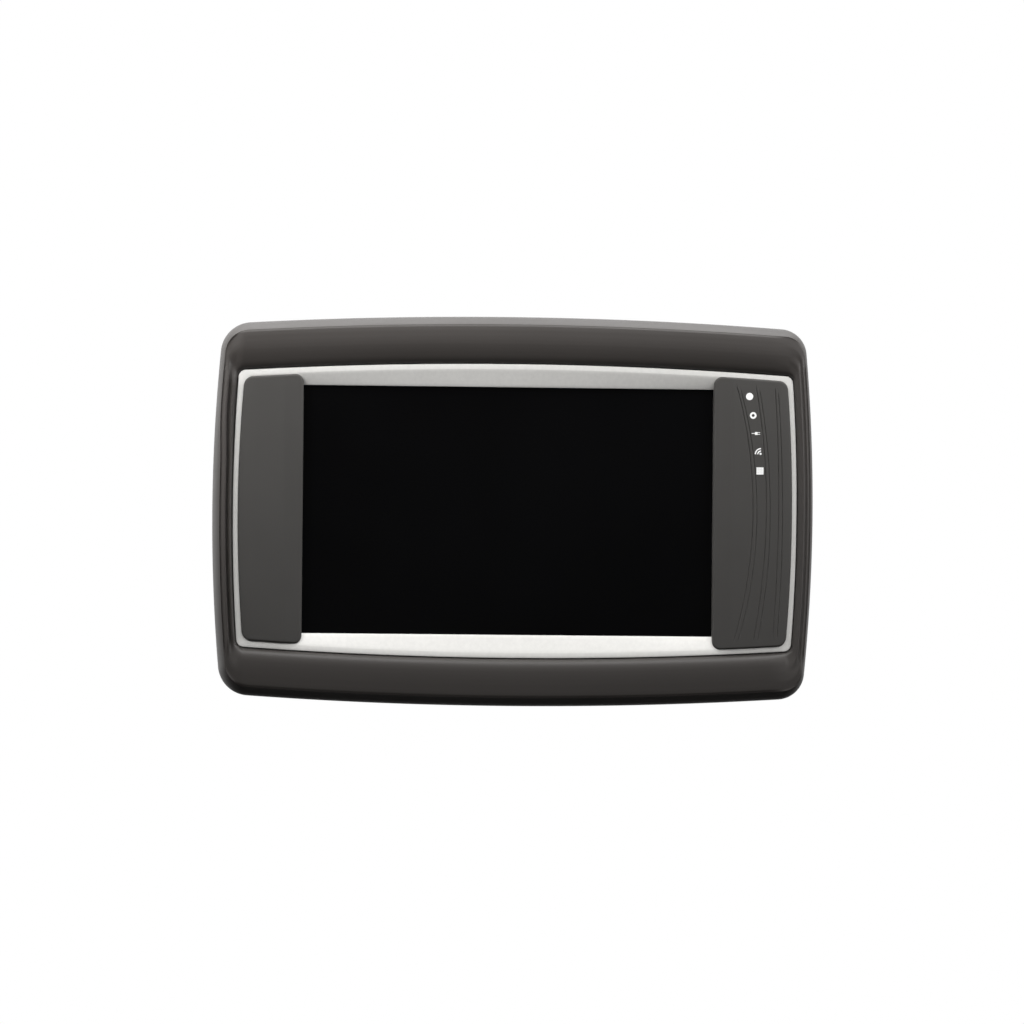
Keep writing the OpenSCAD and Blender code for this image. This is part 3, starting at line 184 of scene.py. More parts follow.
BUMPER_BOW = (4.1 * MM, 4.1 * MM)     # rise of the side edges and of the top edges
TRIM_BOW = (2.15 * MM, 3.6 * MM)
BUMPER_CORNER = {-1: 11.6 * MM, 1: 9.8 * MM}     # at the left and at the right
TRIM_CORNER = 2.7 * MM
CREASE = (1.85 * MM, 3.2 * MM)        # from the bumper's edge to its crease, side and top
UPPER_LEFT = 0.85 * MM                # by how much less at the left, above the middle
NARROWS_UP = (14 * MM, 24 * MM)       # from which height, and over what length, it does so
NARROWS_LEFT = (85 * MM, 20 * MM)     # the same, from the middle to the left
RIM = (1.8 * MM, 2.0 * MM)            # width of the trim's flat rim, side and top
BAND_H = 8.6 * MM
RIM_DEPTH = 2.8 * MM
SEAT_DEPTH = 4.5 * MM
TRIM_HIDDEN = 3.0 * MM                # how far the trim's opening runs on under each grip
WINDOW_H = trim_h - 2 * BAND_H

# ---------------------------------------------------------------- meshes


def piece_from(name, vertices, faces, sharp=35):
    """A smooth-shaded mesh piece, with edges sharper than an angle kept crisp."""
    mesh = bpy.data.meshes.new(name)
    mesh.from_pydata([tuple(v) for v in vertices], [], faces)
    mesh.validate()
    shape = bmesh.new()
    shape.from_mesh(mesh)
    bmesh.ops.recalc_face_normals(shape, faces=shape.faces)
    shape.to_mesh(mesh)
    shape.free()
    mesh.shade_smooth()
    mesh.set_sharp_from_angle(angle=radians(sharp))
    piece = bpy.data.objects.new(name, mesh)
    bpy.context.scene.collection.objects.link(piece)
    return piece


def bow_radius(half, bow):
    return (half * half + bow * bow) / (2 * bow)


def bowed_quarter(half_w, half_h, bow_w, bow_h, r, steps):
    """A quarter of a bowed rectangle, from its right edge to its top edge."""
    side_steps, corner_steps, top_steps = steps
    top_r = bow_radius(half_w, bow_h)
    side_r = bow_radius(half_h, bow_w)
    top_z = half_h - top_r
    side_x = half_w - side_r
    far = hypot(side_x, top_z)
    near_top, near_side = top_r - r, side_r - r
    along = (near_top**2 - near_side**2 + far**2) / (2 * far)
    off = sqrt(near_top**2 - along**2)
    ux, uz = side_x / far, -top_z / far
    x, z = along * ux + off * uz, top_z + along * uz - off * ux
    low = atan2(z, x - side_x)
    high = atan2(z - top_z, x)
    points = []
    for i in range(side_steps):
        a = low * i / side_steps
        points.append((side_x + side_r * cos(a), side_r * sin(a)))
    for i in range(corner_steps + 1):
        a = low + (high - low) * i / corner_steps
        points.append((x + r * cos(a), z + r * sin(a)))
    for i in range(1, top_steps + 1):
        a = high + (pi / 2 - high) * i / top_steps
        points.append((top_r * cos(a), top_z + top_r * sin(a)))
    return points


def side_shares(steps):
    """How much each point of the quarter belongs to the side (1) or to the top (0)."""
    side_steps, corner_steps, top_steps = steps
    corner = [cos(pi / 2 * i / corner_steps) ** 2 for i in range(corner_steps + 1)]
    return [1.0] * side_steps + corner + [0.0] * top_steps


FINE = (56, 24, 110)           # steps of a quarter: along its side, its corner and its top
QUARTER = side_shares(FINE)
SHARES = QUARTER + QUARTER[-2::-1] + QUARTER[1:] + QUARTER[-2:0:-1]


def outline(half_w, half_h, bow_w, bow_h, right_r, left_r=None):
    """A whole bowed rectangle, whose left corners may have a radius of their own."""
    right = bowed_quarter(half_w, half_h, bow_w, bow_h, right_r, FINE)
    left = bowed_quarter(half_w, half_h, bow_w, bow_h, left_r or right_r, FINE)
    loop = right + [(-x, z) for x, z in left[-2::-1]]
    return loop + [(-x, -z) for x, z in left[1:]] + [(x, -z) for x, z in right[-2:0:-1]]


def eased_step(value, start, length):
    """Goes from 0 to 1 over a length, without a corner at either end."""
    t = max(0.0, min(1.0, (value - start) / length))
    return t * t * (3 - 2 * t)


def body_outline(side, top):
    """The outline at an inset from the body's edge, at the sides and at the top."""
    share = min(1, side / side_w)
    radii = [
        BUMPER_CORNER[hand] + (TRIM_CORNER - BUMPER_CORNER[hand]) * share for hand in (1, -1)
    ]
    return outline(
        body_w / 2 - side,
        body_h / 2 - top,
        BUMPER_BOW[0] + (TRIM_BOW[0] - BUMPER_BOW[0]) * share,
        BUMPER_BOW[1] + (TRIM_BOW[1] - BUMPER_BOW[1]) * share,
        *radii,
    )


def front_outline(side, top):
    """The outline as it is on the front, where the bevel narrows towards the upper left."""
    if side <= CREASE[0]:
        narrower = UPPER_LEFT * side / CREASE[0]
    else:
        narrower = UPPER_LEFT * (1 - ((side - CREASE[0]) / (side_w - CREASE[0])) ** 3)
    return [
        (
            x - narrower * eased_step(z, *NARROWS_UP) * eased_step(-x, *NARROWS_LEFT),
            z,
        )
        for x, z in body_outline(side, top)
    ]


def ring(loop, side_depth, top_depth):
    """A loop in space, with one depth at the sides and one at the top and bottom."""
    return [
        Vector((x, front_y + top_depth + (side_depth - top_depth) * share, z))
        for (x, z), share in zip(loop, SHARES)
    ]


def loft(name, rings, sharp=35):
    """A closed ring-shaped piece through rings of points."""
    n, m = len(rings), len(rings[0])
    faces = []
    for i in range(n):
        for j in range(m):
            k = (j + 1) % m
            up = (i + 1) % n
            faces.append((i * m + j, i * m + k, up * m + k, up * m + j))
    return piece_from(name, [p for r in rings for p in r], faces, sharp)


def rounded(stations, passes):
    """Corner cutting on an open row of stations, so that every turn becomes a soft curve."""
    for _ in range(passes):
        cut = [stations[0]]
        for a, b in zip(stations, stations[1:]):
            cut.append([0.75 * p + 0.25 * q for p, q in zip(a, b)])
            cut.append([0.25 * p + 0.75 * q for p, q in zip(a, b)])
        cut.append(stations[-1])
        stations = cut
    return stations


# ---------------------------------------------------------------- bumper

# Stations of the bumper's outside: [inset at the sides, at the top, depth at the sides, at the
# top] in mm, from the back edge over the widest line to the crease.
BUMPER_OUTSIDE = [
    [1.9, 1.9, 22.0, 22.0],
    [1.2, 1.2, 22.0, 22.0],
    [0.8, 0.8, 21.5, 21.5],
    [0.7, 0.7, 20.6, 20.6],
    [0.0, 0.0, 16.0, 16.0],
    [0.0, 0.0, 11.0, 11.5],
    [0.12, 0.25, 8.8, 9.0],
    [0.4, 0.85, 6.2, 6.4],
    [0.85, 1.6, 3.9, 4.3],
    [1.35, 2.4, 2.4, 2.25],
    [1.72, 3.02, 1.62, 1.0],
    [1.84, 3.19, 1.40, 0.7],
]
# Depth in mm of the bumper's face at shares of the way from the crease to the lip: at the left
# and right sides with their two beads, at the top and bottom, and in the corners.
LEFT_FACE = [
    [0.0, 1.38], [0.03, 1.7], [0.07, 1.7], [0.2, 1.0], [0.3, 0.48], [0.38, 0.27],
    [0.43, 0.38], [0.52, 1.5], [0.57, 1.6], [0.67, 0.95], [0.76, 0.45], [0.81, 0.5],
    [0.88, 1.6], [0.93, 2.45], [0.96, 2.7], [1.0, 3.4],
]
RIGHT_FACE = [
    [0.0, 1.38], [0.05, 1.6], [0.09, 1.58], [0.18, 0.92], [0.23, 0.74], [0.28, 0.82],
    [0.35, 1.22], [0.4, 1.26], [0.49, 0.9], [0.55, 0.72], [0.61, 0.8], [0.7, 1.12],
    [0.88, 1.5], [0.94, 1.8], [0.975, 2.5], [1.0, 3.4],
]
TOP_FACE = [
    [0.0, 0.5], [0.055, 0.33], [0.15, 0.13], [0.3, 0.0], [0.4, 0.0], [0.5, 0.09],
    [0.6, 0.3], [0.7, 0.59], [0.8, 0.96], [0.87, 1.29], [0.93, 1.72], [0.97, 2.2],
    [1.0, 3.4],
]
BOTTOM_FACE = [
    [0.0, 0.5], [0.055, 0.4], [0.124, 0.3], [0.228, 0.2], [0.33, 0.1], [0.47, 0.02],
    [0.573, 0.0], [0.68, 0.04], [0.76, 0.17], [0.82, 0.42], [0.87, 0.78], [0.91, 1.2],
    [0.945, 1.65], [0.975, 2.25], [1.0, 3.4],
]
LEFT_CORNER = [
    [0.0, 1.2], [0.04, 1.4], [0.1, 1.4], [0.2, 1.25], [0.3, 1.13], [0.4, 1.15],
    [0.5, 1.4], [0.65, 1.95], [0.8, 2.4], [0.92, 2.7], [0.97, 2.9], [1.0, 3.4],
]
RIGHT_CORNER = [
    [0.0, 1.0], [0.05, 0.95], [0.25, 0.7], [0.5, 0.9], [0.75, 1.35], [0.9, 1.85],
    [0.97, 2.3], [1.0, 3.4],
]
FACE_STEPS = 60
FACE_PASSES = 3
# Where the top's face ends, from the trim's edge outwards: (start, length), and where the
# sides' beads end, from the trim's corner upwards: (start, length, how much lower at the lip),
# at the left (-1) and at the right (1).
PAD_END = {-1: (-3.8 * MM, 5.4 * MM), 1: (-11.0 * MM, 13.0 * MM)}
BEAD_SIDE = (-4.2 * MM, 1.8 * MM)    # where the beads begin, from the trim's edge outwards
BEAD_END = {-1: (-1.0 * MM, 7.5 * MM, 6.0 * MM), 1: (1.0 * MM, 8.0 * MM, 0.0)}
CREASE_DEPTH = (1.38, 0.68)          # at the sides and at the top, in mm
CREASE_SHARE = 0.05                  # how far in the face takes up its own depth
LIP_GAP = 0.22                       # dark gap between the bumper's lip and the trim, in mm
LIP_DEPTH = 3.6                      # how far back the lip turns in, in mm
FRONT_DEPTH = 12                     # stations less deep than this narrow at the upper left
BUMPER_DEPTH = 22.0                  # depth of the bumper's back, in mm
BUMPER_INSIDE = (4.1, 5.5)           # inset of its inside wall at the sides and top, in mm


def level(points, share):
    """The value at a share, on straight lines between [share, value] points."""
    for (a, low), (b, high) in zip(points, points[1:]):
        if share <= b:
            return low + (high - low) * (share - a) / (b - a)
    return points[-1][1]


def face_levels(points):
    """A face's depths at even shares, with its turns softened and both ends kept."""
    values = [level(points, i / FACE_STEPS) for i in range(FACE_STEPS + 1)]
    for _ in range(FACE_PASSES):
        middle = [(a + 2 * b + c) / 4 for a, b, c in zip(values, values[1:], values[2:])]
        values = [values[0], *middle, values[-1]]
    return values


def face_ring(share, side, top, depths):
    """A loop of the bumper's face, where the top's pad, a corner and the sides' beads meet."""
    top_depth, bottom_depth, left_depth, left_corner, right_depth, right_corner = depths
    loop = []
    corner_z = trim_h / 2 - TRIM_BOW[1]
    settled = eased_step(share, 0, CREASE_SHARE)
    for (x, z), beside_share in zip(front_outline(side * MM, top * MM), SHARES):
        hand = -1 if x < 0 else 1
        side_depth, corner = (left_depth, left_corner) if x < 0 else (right_depth, right_corner)
        pad = top_depth if z > 0 else bottom_depth
        pad_start, pad_length = PAD_END[hand]
        bead_start, bead_length, bead_slant = BEAD_END[hand]
        out = eased_step(abs(x), trim_w / 2 + pad_start, pad_length)
        above = eased_step(abs(z), corner_z + bead_start - bead_slant * share, bead_length)
        beside = eased_step(abs(x), trim_w / 2 + BEAD_SIDE[0], BEAD_SIDE[1])
        depth = pad + (corner - pad) * out
        depth += (side_depth - depth) * (1 - above) * beside
        crease = CREASE_DEPTH[1] + (CREASE_DEPTH[0] - CREASE_DEPTH[1]) * beside_share
        depth = crease + (depth - crease) * settled
        loop.append(Vector((x, front_y + depth * MM, z)))
    return loop


def bumper():
    """The soft frame: a bevelled edge all round, a bowed face and a slope down to the trim."""
    crease = (CREASE[0] / MM, CREASE[1] / MM)
    lip = (side_w / MM - LIP_GAP, top_w / MM - LIP_GAP)
    rings = []
    for side, top, side_depth, top_depth in rounded(BUMPER_OUTSIDE, 1):
        shape = front_outline if side_depth < FRONT_DEPTH else body_outline
        rings.append(ring(shape(side * MM, top * MM), side_depth * MM, top_depth * MM))
    faces = [
        face_levels(face)
        for face in (TOP_FACE, BOTTOM_FACE, LEFT_FACE, LEFT_CORNER, RIGHT_FACE, RIGHT_CORNER)
    ]
    for i, depths in enumerate(zip(*faces)):
        share = i / FACE_STEPS
        rings.append(face_ring(
            share,
            crease[0] + share * (lip[0] - crease[0]),
            crease[1] + share * (lip[1] - crease[1]),
            depths,
        ))
    behind = trim_back / MM - 0.1
    inside = [
        (*lip, LIP_DEPTH), (*lip, behind), (*BUMPER_INSIDE, behind),
        (*BUMPER_INSIDE, BUMPER_DEPTH),
    ]
    for side, top, depth in inside:
        rings.append(ring(body_outline(side * MM, top * MM), depth * MM, depth * MM))
    piece = loft("soft_bumper", rings, 40)
    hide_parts("bumper_frame")
    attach(piece, "display")
    return piece


# ---------------------------------------------------------------- trim

# [inset at the sides, at the top, depth] in mm, over the trim's rounded rim
TRIM_RIM = [
    [0.0, 0.0, 5.3],
    [0.0, 0.0, 3.5],
    [0.0, 0.0, 3.05],
    [0.08, 0.08, 2.85],
    [0.3, 0.3, 2.8],
    [0.8, 0.8, 2.8],
    [1.4, 1.6, 2.8],
    [1.7, 1.9, 2.83],
]


SLOPE_STEPS = 6
# The rounded inner edge of the trim: [how much wider than the opening, depth] in mm
TRIM_SILL = [(0.08, 4.53), (0.0, 4.68), (0.0, 5.3)]
SLOPE_OUT = (0.1 * MM, 0.06 * MM)     # where the slope starts, inside the rim and below it
SLOPE_IN = (0.25 * MM, 0.05 * MM)     # where it ends, outside the opening and above its seat


def opening_outline(grow):
    """The trim's own opening, which runs on under the grips."""
    half_w = (right_edge - left_edge) / 2 + TRIM_HIDDEN + grow
    loop = outline(half_w, WINDOW_H / 2 + grow, 0.02 * MM, 0.02 * MM, 1.0 * MM)
    return [(x + screen_x, z) for x, z in loop]


def trim():
    """The silver trim: a flat rim, a slope down to the window and a rounded inner edge."""
    rings = [
        ring(body_outline(side_w + s[0] * MM, top_w + s[1] * MM), s[2] * MM, s[2] * MM)
        for s in TRIM_RIM
    ]
    edge = body_outline(side_w + RIM[0] + SLOPE_OUT[0], top_w + RIM[1] + SLOPE_OUT[0])
    high, low = RIM_DEPTH + SLOPE_OUT[1], SEAT_DEPTH - SLOPE_IN[1]
    start = ring(edge, high, high)
    end = ring(opening_outline(SLOPE_IN[0]), low, low)
    for i in range(SLOPE_STEPS + 1):
        rings.append([a.lerp(b, i / SLOPE_STEPS) for a, b in zip(start, end)])
    for grow, depth in TRIM_SILL:
        rings.append(ring(opening_outline(grow * MM), depth * MM, depth * MM))
    piece = loft("silver_trim", rings)
    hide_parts("trim_bezel")
    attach(piece, "display")
    return piece


# ---------------------------------------------------------------- grips

GRIP_CORNER = 3.2 * MM
GRIP_CROWN = 1.3 * MM
GRIP_ROLL = (6.9 * MM, 1.25 * MM)     # width and drop of the sloped strip along the screen
GRIP_TURN = 0.8 * MM                  # half of the soft turn between the strip and the face
GRIP_EDGE = (5.0 * MM, 0.5 * MM)      # width and drop of the outer edge
GRIP_FILLET = 0.75 * MM
GRIP_INSET = {-1: 2.4 * MM, 1: 1.8 * MM}
GRIP_SUNK = 0.2 * MM                  # how far the grip's wall stops before the glass
LEFT_COLUMNS = 90
RIGHT_COLUMNS = [44, 36, 12, 36, 8, 36, 24]      # between and across the ribs' bands
RIB_REACH = 1.35 * MM                 # half of the finer band of columns over a rib
ROWS = (16, 210, 16)                  # bottom, middle and top
ROWS_TURN = 0.93                      # share of the half height where the end rows begin

# Ribs of the right grip, in mm: [distance of the bow's crown from the screen edge, rise of
# the bow, half of its height]
RIBS = [[15.5, 6.8, 48], [20.5, 4.5, 48], [25.1, 1.8, 47]]
RIB_HALF = (0.52, 0.8)         # from a rib's middle to the groove beside it, at its top and low
RIB_OPENS = 66                 # height over which the grooves draw apart
GROOVE_HALF = 0.25
GROOVE_DEPTH = 0.23
GROOVE_UPPER = 0.25            # by what share a groove is deeper at its top than at its middle
RIB_FADE = 1.5                 # length over which a rib ends
RIB_RISE = 0.04
OUTER_LATE = 1.8               # how much lower than the inner groove the outer one starts


def soft_rise(value, turn):
    """The value where it is above 0 and 0 below, with a round turn between."""
    if value <= -turn:
        return 0.0
    if value >= turn:
        return value
    return (value + turn) ** 2 / (4 * turn)


def rib_x(rib, z):
    """X of a rib's middle at a height: a circle's arc, as in the CAD."""
    r = bow_radius(rib[2], rib[1])
    return right_edge + (rib[0] - r + sqrt(r * r - (z / MM) ** 2)) * MM


def rib_depth(x, z):
    """How much deeper the ribs' grooves make a place on the right grip."""
    depth = 0.0
    for rib in RIBS:
        height = z / MM
        end = rib[2] - abs(height)
        if end <= 0:
            continue
        off = (x - rib_x(rib, z)) / MM
        late = OUTER_LATE if off > 0 and height > 0 else 0
        fade = max(0, min(1, (end - late) / RIB_FADE))
        opened = min(1, (rib[2] - height) / RIB_OPENS)
        half = RIB_HALF[0] + (RIB_HALF[1] - RIB_HALF[0]) * opened
        off = abs(off)
        if off < half:
            depth -= RIB_RISE * fade * cos(off / half * pi / 2) ** 2
        near = abs(off - half)
        if near < GROOVE_HALF:
            groove = GROOVE_DEPTH * (1 + GROOVE_UPPER * height / rib[2])
            depth += groove * fade * cos(near / GROOVE_HALF * pi / 2) ** 2
    return depth * MM


def eased(count, start, end, tight_start=False, tight_end=False):
    """Evenly spread values, drawn together at the ends that need it."""
    values = []
    for i in range(count + 1):
        t = i / count
        if tight_start and tight_end:
            t = (1 - cos(pi * t)) / 2
        elif tight_start:
            t = 1 - cos(pi / 2 * t)
        elif tight_end:
            t = sin(pi / 2 * t)
        values.append(start + (end - start) * t)
    return values


def grip_columns(side, edge, outer):
    """Functions of height that give the X of each column of a grip's grid."""
    if side < 0:
        return [
            (lambda z, t=t: edge + (outer(z) - edge) * t)
            for t in eased(LEFT_COLUMNS, 0, 1, True, True)
        ]
    columns = []
    lines = [lambda z: edge]
    for rib in RIBS:
        lines.append(lambda z, rib=rib: rib_x(rib, z) - RIB_REACH)
        lines.append(lambda z, rib=rib: rib_x(rib, z) + RIB_REACH)
    lines.append(outer)
    for k, count in enumerate(RIGHT_COLUMNS):
        last = k == len(RIGHT_COLUMNS) - 1
        for t in eased(count, 0, 1, k == 0, last)[: None if last else -1]:
            columns.append(
                lambda z, a=lines[k], b=lines[k + 1], t=t: a(z) + (b(z) - a(z)) * t
            )
    return columns


def grip(side):
    """One grip cap: a rolled edge along the screen, a crown and rounded edges and corners."""
    edge = left_edge if side < 0 else right_edge
    inset = GRIP_INSET[side]
    half_w = trim_w / 2 - RIM[0]
    half_h = trim_h / 2 - inset
    side_r = bow_radius(half_h, TRIM_BOW[0])
    top_r = bow_radius(half_w, TRIM_BOW[1])
    r = GRIP_CORNER

    def outer(z):
        return side * (half_w - side_r + sqrt(side_r**2 - z * z))

    def top(x):
        return half_h - top_r + sqrt(top_r**2 - x * x)

    def to_boundary(x, z):
        """Distance to the grip's outline; corners are round."""
        a = side * (x - edge)
        b = side * (outer(z) - x)
        c = top(x) - abs(z)
        along = min(a, b)
        if along < r and c < r:
            return r - hypot(r - along, r - c)
        return min(along, c)

    def depth_at(x, z):
        from_edge = side * (x - edge)
        from_outer = side * (outer(z) - x)
        depth = GRIP_CROWN
        depth += GRIP_ROLL[1] / GRIP_ROLL[0] * soft_rise(GRIP_ROLL[0] - from_edge, GRIP_TURN)
        depth += GRIP_EDGE[1] * max(0, 1 - from_outer / GRIP_EDGE[0]) ** 2
        d = GRIP_FILLET - min(GRIP_FILLET, max(0, to_boundary(x, z)))
        depth += GRIP_FILLET - sqrt(max(0, GRIP_FILLET**2 - d * d))
        if side > 0:
            depth += rib_depth(x, z)
        return depth

    def corner_mapped(x, z):
        """Moves a place in a square corner into the round one, without a jump."""
        a, b = side * (x - edge), side * (outer(z) - x)
        c = top(x) - abs(z)
        along = min(a, b)
        if along >= r or c >= r:
            return x, z
        p, q = (r - along) / r, (r - c) / r
        shift_x = r * p * (1 - sqrt(1 - q * q / 2))
        shift_z = r * q * (1 - sqrt(1 - p * p / 2))
        way = side if a < b else -side
        return x + way * shift_x, z - (1 if z > 0 else -1) * shift_z

    columns = grip_columns(side, edge, outer)
    rows = (
        eased(ROWS[0], -1, -ROWS_TURN, True)[:-1]
        + eased(ROWS[1], -ROWS_TURN, ROWS_TURN)
        + eased(ROWS[2], ROWS_TURN, 1, False, True)[1:]
    )
    vertices = []
    for v in rows:
        for column in columns:
            x = column(v * half_h)
            x, z = corner_mapped(x, v * top(x))
            vertices.append(Vector((x, front_y + depth_at(x, z), z)))
    n = len(columns)
    faces = [
        (j * n + i, j * n + i + 1, (j + 1) * n + i + 1, (j + 1) * n + i)
        for j in range(len(rows) - 1)
        for i in range(n - 1)
    ]
    # the wall round the grip and its flat back
    rim = list(range(n))
    rim += [j * n + n - 1 for j in range(1, len(rows))]
    rim += [(len(rows) - 1) * n + i for i in range(n - 2, -1, -1)]
    rim += [j * n for j in range(len(rows) - 2, 0, -1)]
    first = len(vertices)
    wall_back = front_y + glass_front - GRIP_SUNK
    for i in rim:
        vertices.append(Vector((vertices[i].x, wall_back, vertices[i].z)))
    m = len(rim)
    faces += [
        (rim[i], rim[(i + 1) % m], first + (i + 1) % m, first + i) for i in range(m)
    ]
    faces.append(tuple(first + i for i in range(m)))
    name = "left_grip" if side < 0 else "right_grip"
    piece = piece_from(name, vertices, faces, 50)
    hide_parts(name + "_cap")
    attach(piece, "display")
    return piece


# ---------------------------------------------------------------- icons

ICON = 2.7                     # size of an icon, in mm
ICON_PROUD = 0.05
ICON_SUNK = 0.3


def disc(r, x=0.0, z=0.0, steps=48):
    turns = [2 * pi * i / steps for i in range(steps)]
    return [(x + r * cos(a), z + r * sin(a)) for a in turns]


def box_loop(x0, z0, x1, z1):
    return [(x0, z0), (x1, z0), (x1, z1), (x0, z1)]


def arc_band(x, z, r, half, start, end, steps=14):
    """A stroke along an arc."""
    angles = [radians(start + (end - start) * i / steps) for i in range(steps + 1)]
    outer = [(x + (r + half) * cos(a), z + (r + half) * sin(a)) for a in angles]
    inner = [(x + (r - half) * cos(a), z + (r - half) * sin(a)) for a in reversed(angles)]
    return outer + inner


def plate_icon(name, loops, place, normal, hole=None):
    """An inlay of flat shapes that stands a little proud of the grip, with rounded edges."""
    shape = bmesh.new()
    out = normal.normalized()
    right = Vector((1, 0, 0)) - out * out.x
    right.normalize()
    up = right.cross(out) * -1
    if up.z < 0:
        up = -up

    def at(x, z, lift):
        return place + (right * x + up * z + out * lift) * MM

    for k, loop in enumerate(loops):
        low = [shape.verts.new(at(x, z, -ICON_SUNK)) for x, z in loop]
        high = [shape.verts.new(at(x, z, ICON_PROUD)) for x, z in loop]
        n = len(loop)
        if hole and k == 0:
            low_in = [shape.verts.new(at(x, z, -ICON_SUNK)) for x, z in hole]
            high_in = [shape.verts.new(at(x, z, ICON_PROUD)) for x, z in hole]
            for i in range(n):
                j = (i + 1) % n
                shape.faces.new((high[i], high[j], high_in[j], high_in[i]))
                shape.faces.new((low[j], low[i], low_in[i], low_in[j]))
                shape.faces.new((low[i], low[j], high[j], high[i]))
                shape.faces.new((low_in[j], low_in[i], high_in[i], high_in[j]))
            continue
        shape.faces.new(high)
        shape.faces.new(low[::-1])
        for i in range(n):
            j = (i + 1) % n
            shape.faces.new((low[i], low[j], high[j], high[i]))
    bmesh.ops.recalc_face_normals(shape, faces=shape.faces)
    mesh = bpy.data.meshes.new(name)
    shape.to_mesh(mesh)
    shape.free()
    mesh.shade_smooth()
    mesh.set_sharp_from_angle(angle=radians(40))
    piece = bpy.data.objects.new(name, mesh)
    bpy.context.scene.collection.objects.link(piece)
    soften(piece, 0.02 * MM, 2)
    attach(piece, "display")
    return piece


def soften(piece, width, segments=2, angle=35):
    """A small round on every sharp edge."""
    bevel = piece.modifiers.new("soft_edges", "BEVEL")
    bevel.width = width
    bevel.segments = segments
    bevel.limit_method = "ANGLE"
    bevel.angle_limit = radians(angle)
    bevel.harden_normals = True


def icons(grip_piece):
    """The five status icons, each on the right grip at its own image point."""
    tree, vertices = surface_of([grip_piece])
    half = ICON / 2
    pitch = ICON / 3
    cell = pitch - 0.02
    grid = [
        box_loop(x - cell / 2, z - cell / 2, x + cell / 2, z + cell / 2)
        for x in (-pitch, 0, pitch)
        for z in (-pitch, 0, pitch)
    ]
    plug = [
        box_loop(-0.5, -0.55, 0.5, 0.55),
        box_loop(0.49, 0.2, 1.5, 0.4),
        box_loop(0.49, -0.4, 1.5, -0.2),
        box_loop(-1.7, -0.12, -0.49, 0.12),
    ]
    signal = [disc(0.42, 0.8, -0.75, 24)]
    signal += [arc_band(1.0, -1.0, r, 0.24, 92, 178) for r in (1.3, 2.2)]
    shapes = {
        "record_icon": ([disc(half)], None),
        "ring_icon": ([disc(half * 0.93)], disc(half * 0.4)),
        "port_icon": (plug, None),
        "signal_icon": (signal, None),
        "menu_icon": (grid, None),
    }
    made = []
    for name, (loops, hole) in shapes.items():
        place, normal = place_at(POINTS[name], tree, vertices)
        piece = plate_icon(name + "_inlay", loops, place, normal, hole)
        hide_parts(name)
        made.append(piece)
    return made


# ---------------------------------------------------------------- materials


def node(tree, kind, inputs=None, **settings):
    """Adds a shader node; an input is a value, or another node's output to link."""
    made = tree.nodes.new(kind)
    for name, value in settings.items():
        setattr(made, name, value)
    for name, value in (inputs or {}).items():
        if isinstance(value, bpy.types.NodeSocket):
            tree.links.new(value, made.inputs[name])
        else:
            made.inputs[name].default_value = value
    return made


def ramp(tree, value, stops):
    """A colour ramp; each stop is (position, colour)."""
    made = node(tree, "ShaderNodeValToRGB", {"Fac": value})
    elements = made.color_ramp.elements
    while len(elements) < len(stops):
        elements.new(0.5)
    for element, (position, colour) in zip(elements, stops):
        element.position = position
        element.color = (*colour, 1.0)
    return made.outputs["Color"]


def spread(tree, value, low, high):
    """Stretches a 0.3 to 0.7 noise over a range."""
    made = node(
        tree,
        "ShaderNodeMapRange",
        {"Value": value, "From Min": 0.3, "From Max": 0.7, "To Min": low, "To Max": high},
    )
    return made.outputs["Result"]


def noise(tree, scale, detail=3.0, stretch=(1, 1, 1), roughness=0.5):
    """Noise over the object's own places; scale counts features per metre."""
    places = node(tree, "ShaderNodeTexCoord")
    moved = node(
        tree, "ShaderNodeMapping", {"Vector": places.outputs["Object"], "Scale": stretch}
    )
    made = node(
        tree,
        "ShaderNodeTexNoise",
        {
            "Vector": moved.outputs["Vector"],
            "Scale": scale,
            "Detail": detail,
            "Roughness": roughness,
        },
    )
    return made.outputs[0]


def tint(colour, by):
    return tuple(max(0.0, min(1.0, c * by)) for c in colour)


def finish(
    name,
    colour,
    roughness,
    metallic=0.0,
    specular=0.5,
    mottle=(45, 0.07),
    rough=(90, 0.06),
    grain=(3500, 0.012),
    stretch=(1, 1, 1),
    **sockets,
):
    """A procedural surface: mottled colour, uneven roughness and a fine raised grain.

    mottle and rough are (features per metre, amount); grain is (features per metre, mm).
    """
    material = bpy.data.materials.new(name)
    material.use_nodes = True
    tree = material.node_tree
    shader = tree.nodes["Principled BSDF"]
    shader.inputs["Metallic"].default_value = metallic
    shader.inputs["Specular IOR Level"].default_value = specular
    for socket, value in sockets.items():
        shader.inputs[socket.replace("_", " ")].default_value = value
    patch = noise(tree, mottle[0], 4.0, stretch)
    shade = ramp(
        tree,
        patch,
        [(0.3, tint(colour, 1 - mottle[1])), (0.7, tint(colour, 1 + mottle[1]))],
    )
    tree.links.new(shade, shader.inputs["Base Color"])
    wear = noise(tree, rough[0], 5.0, stretch, 0.6)
    uneven = spread(tree, wear, roughness - rough[1], roughness + rough[1])
    tree.links.new(uneven, shader.inputs["Roughness"])
    texture = noise(tree, grain[0], 2.0, stretch)
    bump = node(
        tree,
        "ShaderNodeBump",
        {"Height": texture, "Strength": 1.0, "Distance": grain[1] * MM},
    )
    tree.links.new(bump.outputs["Normal"], shader.inputs["Normal"])
    return material


